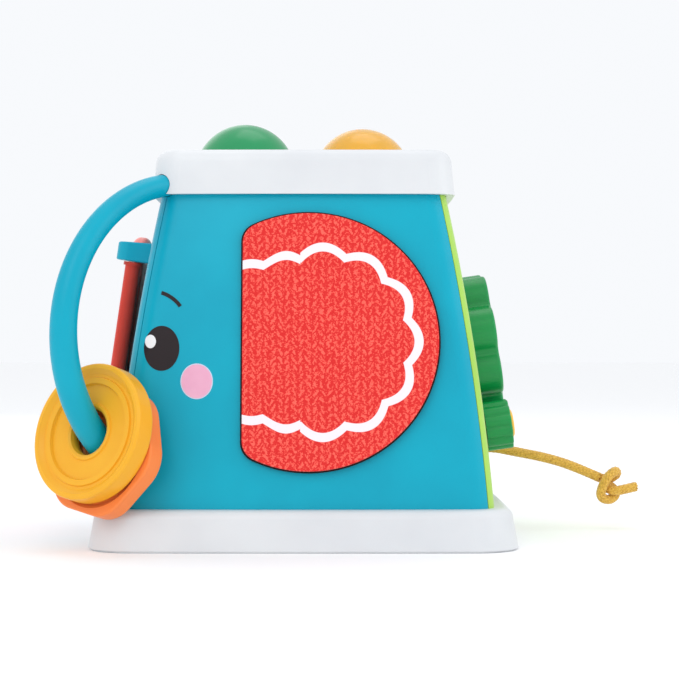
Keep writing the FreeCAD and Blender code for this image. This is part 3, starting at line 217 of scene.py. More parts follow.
# ---- finishes --------------------------------------------------------------------------------
@dataclass(frozen=True)
class MouldedPlastic:
    """Injection-moulded ABS from a satin or polished mould: even colour, soft highlights."""

    name: str
    colour: str
    shade: str
    roughness: float = 0.36
    swirl_mm: float = 42.0
    grain_mm: float = 1.3
    grain_depth_mm: float = 0.012
    shine: float = 0.22
    ior: float = 1.53

    def make(self) -> bpy.types.Material:
        """Build the material.

        Returns:
            Plastic whose colour and gloss drift a little, as they do where the melt flowed.
        """
        material, tree, shader = new_material(self.name)
        place = add_node(tree, "ShaderNodeTexCoord").outputs["Object"]
        swirl = add_node(tree, NOISE, inputs={
            "Vector": place, "Scale": 1 / (self.swirl_mm * MM), "Detail": 3.0}).outputs[0]
        grain = add_node(tree, NOISE, inputs={
            "Vector": place, "Scale": 1 / (self.grain_mm * MM), "Detail": 2.0}).outputs[0]
        drift = add_node(tree, RANGE, inputs={0: swirl, 1: 0.35, 2: 0.65}).outputs[0]
        paint = add_node(tree, MIX, {"data_type": "RGBA"}, {
            0: drift, 6: linear(self.colour), 7: linear(self.shade)}).outputs[2]
        gloss = add_node(tree, RANGE, inputs={
            0: swirl, 1: 0.3, 2: 0.7,
            3: self.roughness - 0.04, 4: self.roughness + 0.05}).outputs[0]
        bump = add_node(tree, BUMP, inputs={
            "Height": grain, "Strength": 0.6, "Distance": self.grain_depth_mm * MM}).outputs[0]
        tree.links.new(paint, shader.inputs["Base Color"])
        tree.links.new(gloss, shader.inputs["Roughness"])
        tree.links.new(bump, shader.inputs["Normal"])
        shader.inputs["IOR"].default_value = self.ior
        shader.inputs["Specular IOR Level"].default_value = self.shine
        return material


@dataclass(frozen=True)
class ClearPlastic:
    """Tinted translucent polycarbonate: light passes, and an optional painted glow, emission in the tint's colour,
    shines from the wall with no lamp inside.
    """

    name: str
    colour: str
    passes: float
    roughness: float
    painted_glow: float = 0.0
    cloud_mm: float = 30.0
    ior: float = 1.45

    def make(self) -> bpy.types.Material:
        """Build the material.

        Returns:
            A tinted shader with part transmission, slightly cloudy in patches, and the painted glow as emission.
        """
        material, tree, shader = new_material(self.name)
        place = add_node(tree, "ShaderNodeTexCoord").outputs["Object"]
        cloud = add_node(tree, NOISE, inputs={
            "Vector": place, "Scale": 1 / (self.cloud_mm * MM), "Detail": 2.0}).outputs[0]
        gloss = add_node(tree, RANGE, inputs={
            0: cloud, 1: 0.3, 2: 0.7,
            3: self.roughness - 0.03, 4: self.roughness + 0.04}).outputs[0]
        tree.links.new(gloss, shader.inputs["Roughness"])
        shader.inputs["Base Color"].default_value = linear(self.colour)
        shader.inputs["Transmission Weight"].default_value = self.passes
        shader.inputs["IOR"].default_value = self.ior
        # Painted glow: emission in the tint's colour makes the part shine though no lamp is in it.
        shader.inputs["Emission Color"].default_value = linear(self.colour)
        shader.inputs["Emission Strength"].default_value = self.painted_glow
        return material


@dataclass(frozen=True)
class PlatedSteel:
    """Zinc-plated steel: bright, with a faint drawn streak."""

    name: str = "zinc_plated_steel"
    colour: str = "#C9CBCE"
    roughness: float = 0.32
    streak_mm: float = 1.2

    def make(self) -> bpy.types.Material:
        """Build the material.

        Returns:
            Metal whose gloss varies on a scale of about a millimetre.
        """
        material, tree, shader = new_material(self.name)
        place = add_node(tree, "ShaderNodeTexCoord").outputs["Object"]
        streak = add_node(tree, NOISE, inputs={
            "Vector": place, "Scale": 1 / (self.streak_mm * MM), "Detail": 4.0}).outputs[0]
        gloss = add_node(tree, RANGE, inputs={
            0: streak, 1: 0.3, 2: 0.7,
            3: self.roughness - 0.08, 4: self.roughness + 0.1}).outputs[0]
        tree.links.new(gloss, shader.inputs["Roughness"])
        shader.inputs["Base Color"].default_value = linear(self.colour)
        shader.inputs["Metallic"].default_value = 1.0
        return material


@dataclass(frozen=True)
class LaidCord:
    """Polyester cord: each strand is a bundle of fine slanting filaments with a soft sheen."""

    name: str = "laid_polyester_cord"
    # light and dark are painted highlight on the filament ridges and painted shade in the grooves between
    # filaments; middle is the yarn's own colour.
    light: str = "#F5CB5C"
    middle: str = "#DDA62F"
    dark: str = "#8E5F12"
    filament_mm: float = 0.42
    filaments: int = 6  # lines of filament that cross a strand's map
    slant: float = 2.2
    fuzz_mm: float = 0.9
    relief_mm: float = 0.12

    def make(self, strand_length: float) -> bpy.types.Material:
        """Build the material for strands of one length.

        Args:
            strand_length: Length of a strand in metres, so that filaments keep their real size.

        Returns:
            Cord whose filament lines follow each strand's own map, with painted shade in the grooves and painted
            highlight on the ridges.
        """
        material, tree, shader = new_material(self.name)
        map_node = add_node(tree, "ShaderNodeUVMap", {"uv_map": Tail.MAP})
        parts = add_node(tree, "ShaderNodeSeparateXYZ", inputs={0: map_node.outputs[0]})
        turns = strand_length / (self.filament_mm * MM) / self.filaments
        along = add_node(tree, MATH, {"operation": "MULTIPLY"}, {
            0: parts.outputs[0], 1: turns}).outputs[0]
        slanted = add_node(tree, MATH, {"operation": "MULTIPLY_ADD"}, {
            0: parts.outputs[1], 1: self.filaments * self.slant, 2: along}).outputs[0]
        phase = add_node(tree, MATH, {"operation": "MULTIPLY"}, {
            0: slanted, 1: 2 * math.pi}).outputs[0]
        ripple = add_node(tree, MATH, {"operation": "SINE"}, {0: phase}).outputs[0]
        place = add_node(tree, "ShaderNodeTexCoord").outputs["Object"]
        fuzz = add_node(tree, NOISE, inputs={
            "Vector": place, "Scale": 1 / (self.fuzz_mm * MM), "Detail": 3.0}).outputs[0]
        lines_and_mottle = add_node(tree, MATH, {"operation": "MULTIPLY_ADD"}, {
            0: ripple, 1: 0.22, 2: fuzz}).outputs[0]
        # The ramp paints the filament ripple as shade in the grooves and highlight on the ridges, over random
        # mottle.
        ramp = add_node(tree, "ShaderNodeValToRGB", inputs={0: lines_and_mottle})
        first, last = ramp.color_ramp.elements
        first.position, last.position = 0.12, 0.82
        first.color, last.color = linear(self.dark), linear(self.light)
        ramp.color_ramp.elements.new(0.42).color = linear(self.middle)
        bump = add_node(tree, BUMP, inputs={
            "Height": lines_and_mottle, "Strength": 0.8, "Distance": self.relief_mm * MM}).outputs[0]
        tree.links.new(ramp.outputs[0], shader.inputs["Base Color"])
        tree.links.new(bump, shader.inputs["Normal"])
        shader.inputs["Roughness"].default_value = 0.62
        shader.inputs["Sheen Weight"].default_value = 0.25
        return material


@dataclass(frozen=True)
class PrintedKnit:
    """Brushed polyester printed with a stocking-stitch pattern and a scalloped line."""

    name: str = "printed_knit"
    ground: str = "#DE211F"
    stroke: str = "#FF6455"
    line: str = "#F4EDF2"
    wale_mm: float = 6.3
    course_mm: float = 3.7
    leg_rise: float = 1.15  # courses that a leg climbs from the middle of its column
    wander_per_mm: float = 0.3
    wander_mm: tuple[float, float, float] = (3.4, 3.0, 0.0)
    fuzz_per_mm: float = 1.5
    pile_per_mm: float = 2.6
    pile_depth_mm: float = 0.18
    lobes: int = 12
    cusp_r_mm: float = 39.6
    lobe_rise_mm: float = 3.9
    line_half_mm: float = 2.05
    line_soft_mm: float = 0.12
    centre_mm: tuple[float, float] = (6.5, -0.3)
    run_start_mm: float = -10.2
    run_pitch_mm: float = 16.8
    run_height_mm: float = 37.6
    run_fall_mm: float = 2.6
    run_lobe_mm: float = 3.7
    run_lobe_loss_mm: float = 1.3

    def make(self) -> bpy.types.Material:
        """Build the material.

        Returns:
            Cloth whose print follows the ear's own flat map.
        """
        material, tree, shader = new_material(self.name)
        map_node = add_node(tree, "ShaderNodeUVMap", {"uv_map": EarFlap.MAP})
        flat = add_node(tree, VECTOR_MATH, {"operation": "MULTIPLY_ADD"}, {
            0: map_node.outputs[0], 1: (EarFlap.MAP_MM,) * 3,
            2: (-EarFlap.MAP_MM / 2,) * 3}).outputs[0]
        wander = add_node(tree, NOISE, inputs={
            "Vector": flat, "Scale": self.wander_per_mm, "Detail": 3.0}).outputs[1]
        shift = add_node(tree, VECTOR_MATH, {"operation": "MULTIPLY_ADD"}, {
            0: wander, 1: self.wander_mm, 2: flat}).outputs[0]
        stitch = self._stitches(tree, shift)
        fuzz = add_node(tree, NOISE, inputs={
            "Vector": flat, "Scale": self.fuzz_per_mm, "Detail": 4.0}).outputs[0]
        blotch = add_node(tree, MATH, {"operation": "MULTIPLY_ADD"}, {
            0: fuzz, 1: 3.4, 2: -1.8}).outputs[0]
        lines_and_mottle = add_node(tree, MATH, {"operation": "MULTIPLY_ADD"}, {
            0: stitch, 1: 0.85, 2: blotch}).outputs[0]
        tone = add_node(tree, RANGE, {"interpolation_type": "SMOOTHSTEP"}, {
            0: lines_and_mottle, 1: 0.15, 2: 0.75}).outputs[0]
        cloth = add_node(tree, MIX, {"data_type": "RGBA"}, {
            0: tone, 6: linear(self.ground), 7: linear(self.stroke)}).outputs[2]
        paint = add_node(tree, MIX, {"data_type": "RGBA"}, {
            0: self._scallop(tree, flat), 6: cloth, 7: linear(self.line)}).outputs[2]
        pile = add_node(tree, NOISE, inputs={
            "Vector": flat, "Scale": self.pile_per_mm, "Detail": 4.0}).outputs[0]
        relief = add_node(tree, MATH, {"operation": "MULTIPLY_ADD"}, {
            0: stitch, 1: 0.25, 2: pile}).outputs[0]
        bump = add_node(tree, BUMP, inputs={
            "Height": relief, "Strength": 0.35, "Distance": self.pile_depth_mm * MM}).outputs[0]
        tree.links.new(paint, shader.inputs["Base Color"])
        tree.links.new(bump, shader.inputs["Normal"])
        shader.inputs["Roughness"].default_value = 0.88
        shader.inputs["Sheen Weight"].default_value = 0.18
        return material

    def _stitches(
        self, tree: bpy.types.NodeTree, flat: bpy.types.NodeSocket
    ) -> bpy.types.NodeSocket:
        """Draw columns of V-shaped stitches.

        Args:
            tree: The material's tree.
            flat: Place on the cloth in millimetres.

        Returns:
            1 on a stitch's leg and 0 between stitches.
        """
        parts = add_node(tree, "ShaderNodeSeparateXYZ", inputs={0: flat})
        wales = add_node(tree, MATH, {"operation": "DIVIDE"}, {
            0: parts.outputs[0], 1: self.wale_mm}).outputs[0]
        column = add_node(tree, MATH, {"operation": "FRACT"}, {0: wales}).outputs[0]
        middle = add_node(tree, MATH, {"operation": "SUBTRACT"}, {0: column, 1: 0.5}).outputs[0]
        side = add_node(tree, MATH, {"operation": "ABSOLUTE"}, {0: middle}).outputs[0]
        leg = add_node(tree, MATH, {"operation": "MULTIPLY"}, {0: side, 1: 2.0}).outputs[0]
        row = add_node(tree, MATH, {"operation": "DIVIDE"}, {
            0: parts.outputs[1], 1: self.course_mm}).outputs[0]
        lifted = add_node(tree, MATH, {"operation": "MULTIPLY_ADD"}, {
            0: leg, 1: -self.leg_rise, 2: row}).outputs[0]
        course = add_node(tree, MATH, {"operation": "FRACT"}, {0: lifted}).outputs[0]
        waves = []
        for share in (course, leg):
            phase = add_node(tree, MATH, {"operation": "MULTIPLY"}, {
                0: share, 1: math.pi}).outputs[0]
            waves.append(add_node(tree, MATH, {"operation": "SINE"}, {0: phase}).outputs[0])
        across = add_node(tree, MATH, {"operation": "POWER"}, {0: waves[1], 1: 0.7}).outputs[0]
        return add_node(tree, MATH, {"operation": "MULTIPLY"}, {
            0: waves[0], 1: across}).outputs[0]

    def _scallop(
        self, tree: bpy.types.NodeTree, flat: bpy.types.NodeSocket
    ) -> bpy.types.NodeSocket:
        """Draw the line of round lobes, which flatten out towards the sewn edge.

        Args:
            tree: The material's tree.
            flat: Place on the cloth in millimetres.

        Returns:
            1 on the line and 0 off it, with an edge a quarter of a millimetre soft.
        """
        moved = add_node(tree, VECTOR_MATH, {"operation": "SUBTRACT"}, {
            0: flat, 1: (*self.centre_mm, 0.0)}).outputs[0]
        parts = add_node(tree, "ShaderNodeSeparateXYZ", inputs={0: moved})
        beyond, run_off = self._run(tree, parts.outputs[0], parts.outputs[1])
        chosen = add_node(tree, MIX, {"data_type": "FLOAT"}, {
            0: beyond, 2: self._ring(tree, moved, parts), 3: run_off}).outputs[0]
        off = add_node(tree, MATH, {"operation": "ABSOLUTE"}, {0: chosen}).outputs[0]
        return add_node(tree, RANGE, inputs={
            0: off, 1: self.line_half_mm + self.line_soft_mm,
            2: self.line_half_mm - self.line_soft_mm}).outputs[0]

    def _ring(
        self, tree: bpy.types.NodeTree, moved: bpy.types.NodeSocket, parts: bpy.types.Node
    ) -> bpy.types.NodeSocket:
        """Measure how far a place is outside the round part of the line.

        Args:
            tree: The material's tree.
            moved: Place from the line's centre, in millimetres.
            parts: The node that splits that place into x and y.

        Returns:
            The distance in millimetres, less than 0 inside the line.
        """
        angle = add_node(tree, MATH, {"operation": "ARCTAN2"}, {
            0: parts.outputs[1], 1: parts.outputs[0]}).outputs[0]
        phase = add_node(tree, MATH, {"operation": "MULTIPLY"}, {
            0: angle, 1: self.lobes / 2}).outputs[0]
        wave = add_node(tree, MATH, {"operation": "COSINE"}, {0: phase}).outputs[0]
        bow = add_node(tree, MATH, {"operation": "ABSOLUTE"}, {0: wave}).outputs[0]
        target = add_node(tree, MATH, {"operation": "MULTIPLY_ADD"}, {
            0: bow, 1: self.lobe_rise_mm, 2: self.cusp_r_mm}).outputs[0]
        flattened = add_node(tree, VECTOR_MATH, {"operation": "MULTIPLY"}, {
            0: moved, 1: (1.0, 1.0, 0.0)}).outputs[0]
        reach = add_node(tree, VECTOR_MATH, {"operation": "LENGTH"}, {0: flattened})
        return add_node(tree, MATH, {"operation": "SUBTRACT"}, {
            0: reach.outputs["Value"], 1: target}).outputs[0]

    def _run(
        self, tree: bpy.types.NodeTree, x: bpy.types.NodeSocket, y: bpy.types.NodeSocket
    ) -> tuple[bpy.types.NodeSocket, bpy.types.NodeSocket]:
        """Measure how far a place is outside the flat lobes beside the sewn edge.

        Args:
            tree: The material's tree.
            x: Distance from the line's centre, away from the hinge, in millimetres.
            y: Height above the line's centre.

        Returns:
            1 where the flat lobes stand in for the round ones, and the distance in millimetres.
        """
        left = add_node(tree, MATH, {"operation": "SUBTRACT"}, {
            0: self.run_start_mm, 1: x}).outputs[0]
        step = add_node(tree, MATH, {"operation": "DIVIDE"}, {
            0: left, 1: self.run_pitch_mm}).outputs[0]
        phase = add_node(tree, MATH, {"operation": "MULTIPLY"}, {0: step, 1: math.pi}).outputs[0]
        wave = add_node(tree, MATH, {"operation": "SINE"}, {0: phase}).outputs[0]
        arch = add_node(tree, MATH, {"operation": "ABSOLUTE"}, {0: wave}).outputs[0]
        lobe = add_node(tree, MATH, {"operation": "MULTIPLY_ADD"}, {
            0: step, 1: -self.run_lobe_loss_mm, 2: self.run_lobe_mm}).outputs[0]
        rise = add_node(tree, MATH, {"operation": "MULTIPLY"}, {0: arch, 1: lobe}).outputs[0]
        slope = add_node(tree, MATH, {"operation": "MULTIPLY_ADD"}, {
            0: step, 1: -self.run_fall_mm, 2: self.run_height_mm}).outputs[0]
        target = add_node(tree, MATH, {"operation": "ADD"}, {0: rise, 1: slope}).outputs[0]
        height = add_node(tree, MATH, {"operation": "ABSOLUTE"}, {0: y}).outputs[0]
        off = add_node(tree, MATH, {"operation": "SUBTRACT"}, {0: height, 1: target}).outputs[0]
        beyond = add_node(tree, MATH, {"operation": "GREATER_THAN"}, {0: step, 1: 0.0}).outputs[0]
        return beyond, off


@dataclass(frozen=True)
class Felt:
    """Pressed felt: matt and dark, with short fibres."""

    name: str
    colour: str
    shade: str
    fibre_mm: float = 0.8
    fibre_depth_mm: float = 0.1

    def make(self) -> bpy.types.Material:
        """Build the material.

        Returns:
            Rough cloth with fibre-sized mottling.
        """
        material, tree, shader = new_material(self.name)
        place = add_node(tree, "ShaderNodeTexCoord").outputs["Object"]
        fibre = add_node(tree, NOISE, inputs={
            "Vector": place, "Scale": 1 / (self.fibre_mm * MM), "Detail": 4.0}).outputs[0]
        paint = add_node(tree, MIX, {"data_type": "RGBA"}, {
            0: fibre, 6: linear(self.colour), 7: linear(self.shade)}).outputs[2]
        bump = add_node(tree, BUMP, inputs={
            "Height": fibre, "Strength": 0.5, "Distance": self.fibre_depth_mm * MM}).outputs[0]
        tree.links.new(paint, shader.inputs["Base Color"])
        tree.links.new(bump, shader.inputs["Normal"])
        shader.inputs["Roughness"].default_value = 0.93
        return material


class Slot(Enum):
    """The record's material slots, each with the finish of its pieces."""

    # Moulded in a satin mould, so the shell shows wide, soft highlights and no reflections.
    WHITE = ("white_abs", MouldedPlastic(
        "white_satin_abs", "#DFE1E3", "#D8DADD", 0.42, shine=0.4))
    TEAL = ("teal_abs", MouldedPlastic("teal_satin_abs", "#00AAC3", "#00A2BC", 0.34))
    LIME = ("lime_abs", MouldedPlastic("lime_satin_abs", "#AFDB5E", "#A6D357", 0.36))
    CORAL = ("coral_abs", MouldedPlastic("coral_satin_abs", "#FF7A6E", "#FA7065", 0.34))
    # Moulded in smoother moulds: the small parts and rings catch tighter highlights.
    GEAR = ("gear_green", MouldedPlastic(
        "gear_green_abs", "#03944C", "#038A46", 0.33, shine=0.4))
    HUB = ("hub_yellow", MouldedPlastic("hub_yellow_abs", "#F8C23C", "#F2B833", 0.3))
    RING_YELLOW = ("ring_yellow", MouldedPlastic("yellow_ring_abs", "#F4B430", "#EFAA26", 0.3))
    RING_ORANGE = ("ring_orange", MouldedPlastic("orange_ring_abs", "#FA8C49", "#F4823F", 0.32))
    ROD = ("rod_red", MouldedPlastic("red_hinge_abs", "#DE4637", "#D43F31", 0.28))
    # Polished domes: the opaque one mirrors the lights, the clear one passes light round its rim, and the diffuser
    # under it carries a painted glow, emission with no lamp inside.
    GREEN = ("green_dome", MouldedPlastic(
        "green_polished_abs", "#27985F", "#239159", 0.22, shine=0.35))
    YELLOW = ("yellow_dome", ClearPlastic("amber_polycarbonate", "#FFC544", 0.35, 0.2))
    # The diffuser's last number is its painted glow: emission that lights the dome from inside with no lamp.
    DIFFUSER = ("diffuser", ClearPlastic("frosted_diffuser", "#FFE3A6", 0.2, 0.5, 0.25))
    # Inside parts: dull acetal, bright plated screws, glossy mask on the board, matt paper.
    GREY = ("grey_plastic", MouldedPlastic("grey_acetal", "#BFC2C4", "#B4B7BA", 0.5))
    STEEL = ("steel", PlatedSteel())
    BOARD = ("board", MouldedPlastic("solder_masked_board", "#1D7A4B", "#176B40", 0.3))
    CONE = ("cone_paper", Felt("pressed_cone_paper", "#2A2B2D", "#1C1D1F"))
    CELL = ("cell_wrap", MouldedPlastic("cell_sleeve", "#5C636B", "#4D545C", 0.3))
    # Soft goods swallow the light, so their colours stay even from every side.
    FELT = ("knit_felt", Felt("red_binding_felt", "#B3201E", "#8E1715"))
    CORD = ("cord_yellow", Felt("yellow_cord_yarn", "#DDA62F", "#B98420"))


class CadDress:
    """Gives every carried-over node the finish that its slot names."""

    def dress_all(self) -> None:
        """Dress each node and log how many nodes and finishes there are."""
        materials = {slot.value[0]: slot.value[1].make() for slot in Slot}
        for subpart in frame["record"]["subparts"]:
            node = frame["nodes"][subpart["node"]]
            dress(node, materials[subpart["material_slot"]])
        LOG.info("dressed %d nodes with %d finishes", len(frame["nodes"]), len(materials))


# ---- studio ----------------------------------------------------------------------------------
@dataclass
class Studio:
    """Camera, wide pale floor, pale sky and soft lights."""

    camera_x: float = 8.0 * MM
    camera_distance: float = 945 * MM
    camera_height: float = 95 * MM
    lens_mm: float = 101.3
    shift: float = 0.0272
    sensor_mm: float = 36.0
    floor_r: float = 7.0
    floor_colour: str = "#FDFDFD"
    sky_colour: str = "#FAFCFF"
    sky_strength: float = 0.98
    aim: tuple[float, float, float] = (0.0, 0.0, 0.09)
    # Each panel's name, place in metres, width in metres and power in watts.
    panels: tuple[tuple[str, tuple[float, float, float], float, float], ...] = (
        ("key", (-0.35, -1.05, 0.95), 0.7, 2.6),
        ("side", (1.1, -0.35, 0.6), 0.7, 1.6),
        ("top", (0.1, 0.25, 1.3), 0.7, 1.8),
        ("back", (-0.5, 1.1, 0.7), 0.9, 1.2),
    )

    def build(self) -> None:
        """Make the whole studio."""
        self._camera()
        self._floor()
        self._lights()

    def _camera(self) -> None:
        """Stand the camera level in front of the fabric ear."""
        deselect()
        bpy.ops.object.camera_add(
            location=(self.camera_x, -self.camera_distance, self.camera_height),
            rotation=(math.pi / 2, 0, 0),
        )
        camera = bpy.context.object
        camera.name = "studio_camera"
        camera.data.lens = self.lens_mm
        camera.data.sensor_width = self.sensor_mm
        camera.data.shift_x = self.shift
        camera.data.clip_start = 0.01
        camera.data.clip_end = 20.0
        bpy.context.scene.camera = camera

    def _floor(self) -> None:
        """Lay a round floor that runs far back, so that it meets the sky in one pale tone."""
        deselect()
        bpy.ops.mesh.primitive_circle_add(vertices=96, radius=self.floor_r, fill_type="NGON")
        floor = bpy.context.object
        floor.name = "studio_floor"
        material, tree, shader = new_material("studio_paper")
        place = add_node(tree, "ShaderNodeTexCoord").outputs["Object"]
        tooth = add_node(tree, NOISE, inputs={"Vector": place, "Scale": 6.0})
        gloss = add_node(tree, RANGE, inputs={0: tooth.outputs[0], 3: 0.85, 4: 0.95})
        tree.links.new(gloss.outputs[0], shader.inputs["Roughness"])
        shader.inputs["Base Color"].default_value = linear(self.floor_colour)
        shader.inputs["Specular IOR Level"].default_value = 0.1
        dress(floor, material)

    def _lights(self) -> None:
        """Hang four soft panels round the cube and a pale sky over it."""
        world = bpy.data.worlds.new("studio_sky")
        bpy.context.scene.world = world
        world.use_nodes = True
        sky = world.node_tree.nodes["Background"]
        sky.inputs["Color"].default_value = linear(self.sky_colour)
        sky.inputs["Strength"].default_value = self.sky_strength
        bpy.context.scene.view_settings.view_transform = "Standard"
        for name, place, size, power in self.panels:
            deselect()
            turn = (Vector(self.aim) - Vector(place)).to_track_quat("-Z", "Y").to_euler()
            bpy.ops.object.light_add(type="AREA", location=place, rotation=turn)
            light = bpy.context.object
            light.name = f"{name}_light"
            light.data.size = size
            light.data.energy = power


# ---- tail cord -------------------------------------------------------------------------------
@dataclass
class Tail:
    """A laid cord that comes out of the geared side and ends in an overhand knot."""

    MAP = "strand_map"
    route_mm: tuple[tuple[float, float, float], ...] = (
        (76.0, 20.0, 39.75),
        (91.5, 20.0, 41.25),
        (107.0, 20.3, 38.2),
        (122.5, 20.0, 35.2),
        (136.0, 20.6, 30.9),
        (148.5, 20.0, 25.3),
    )
    knot_centre_mm: tuple[float, float, float] = (153.2, 20.0, 21.2)
    # The end goes behind its own line, over the top, down the near side, under and out again.
    knot_mm: tuple[tuple[float, float, float], ...] = (
        (-7.0, 0.2, 5.2),
        (-3.4, 1.6, 3.4),
        (0.6, 3.4, 3.0),
        (4.8, 2.6, 5.6),
        (3.6, -0.6, 7.9),
        (-0.6, -3.6, 5.2),
        (-3.6, -4.0, 0.2),
        (-4.6, -1.6, -5.6),
        (0.4, 0.6, -7.6),
        (4.6, 2.6, -4.6),
        (2.0, 4.2, -0.2),
        (-1.6, 0.8, -0.8),
        (2.6, -1.8, -2.8),
        (8.4, -0.8, -1.6),
        (13.9, 0.6, -0.5),
    )
    exit_mm: tuple[float, float, float] = (89.5, 20.0, 40.7)
    diameter_mm: float = 4.9
    strand_r_mm: float = 0.86
    strands: int = 8
    lay_mm: float = 19.0
    length_mm: float = 75.0
    core_share: float = 0.95  # the core's radius as a share of the strands' orbit

    def build(self) -> None:
        line = self._centreline([Vector(p) * MM for p in self.route_mm])
        centre = Vector(self.knot_centre_mm)
        turns = self._centreline([(centre + Vector(p)) * MM for p in self.knot_mm])
        cord = self._lay(line)
        knot = self._lay(turns)
        finish = LaidCord()
        for piece, name, points in ((cord, "tail_rope", line), (knot, "tail_rope_knot", turns)):
            length = sum((b - a).length for a, b in zip(points, points[1:]))
            finish_piece(piece, name, finish.make(length))
            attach(piece, "root")
        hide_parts("tail_cord")
        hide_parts("tail_knot", "tail_end")

    def _centreline(self, points: list[Vector]) -> list[Vector]:
        """Read the smooth line that control points give.

        Args:
            points: Control points in metres.

        Returns:
            Points along a NURBS spline with those control points.
        """
        data = bpy.data.curves.new("route", "CURVE")
        data.dimensions = "3D"
        data.resolution_u = 20
        spline = data.splines.new("NURBS")
        spline.points.add(len(points) - 1)
        for point, place in zip(spline.points, points):
            point.co = (*place, 1.0)
        spline.order_u = 3
        spline.use_endpoint_u = True
        carrier = bpy.data.objects.new("route", data)
        bpy.context.collection.objects.link(carrier)
        mesh = bpy.data.meshes.new_from_object(carrier)
        line = [v.co.copy() for v in mesh.vertices]
        bpy.data.objects.remove(carrier)
        return line

    def _lay(self, line: list[Vector]) -> bpy.types.Object:
        """Twist strands round a core along a line.

        Args:
            line: The cord's centre line.

        Returns:
            One mesh of all the strands.
        """
        steps = [0.0]
        for a, b in zip(line, line[1:]):
            steps.append(steps[-1] + (b - a).length)
        ways = [(b - a).normalized() for a, b in zip(line, line[1:])]
        ways.append(ways[-1])
        up = ways[0].orthogonal().normalized()
        frames = []
        for way in ways:
            up = (up - way * up.dot(way)).normalized()
            frames.append((up, way.cross(up)))
        orbit = (self.diameter_mm / 2 - self.strand_r_mm) * MM
        made = [self._strand(line, orbit * self.core_share)]
        for k in range(self.strands):
            points = []
            for place, run, (up, across) in zip(line, steps, frames):
                turn = 2 * math.pi * (k / self.strands - run / (self.lay_mm * MM))
                points.append(place + (up * math.cos(turn) + across * math.sin(turn)) * orbit)
            made.append(self._strand(points, self.strand_r_mm * MM))
        deselect()
        for strand in made:
            strand.select_set(True)
        bpy.context.view_layer.objects.active = made[0]
        bpy.ops.object.join()
        cord = bpy.context.object
        smooth(cord, 60)
        return cord

    def _strand(self, points: list[Vector], radius: float) -> bpy.types.Object:
        """Sweep one round strand.

        Args:
            points: The strand's own line.
            radius: Its radius in metres.

        Returns:
            A mesh object with closed ends and a map along its length.
        """
        data = bpy.data.curves.new("strand", "CURVE")
        data.dimensions = "3D"
        data.bevel_depth = radius
        data.bevel_resolution = 3
        data.use_fill_caps = True
        spline = data.splines.new("POLY")
        spline.points.add(len(points) - 1)
        for point, place in zip(spline.points, points):
            point.co = (*place, 1.0)
        strand = bpy.data.objects.new("strand", data)
        bpy.context.collection.objects.link(strand)
        select_only(strand)
        bpy.ops.object.convert(target="MESH")
        strand = bpy.context.object
        if strand.data.uv_layers:
            strand.data.uv_layers[0].name = self.MAP
        return strand


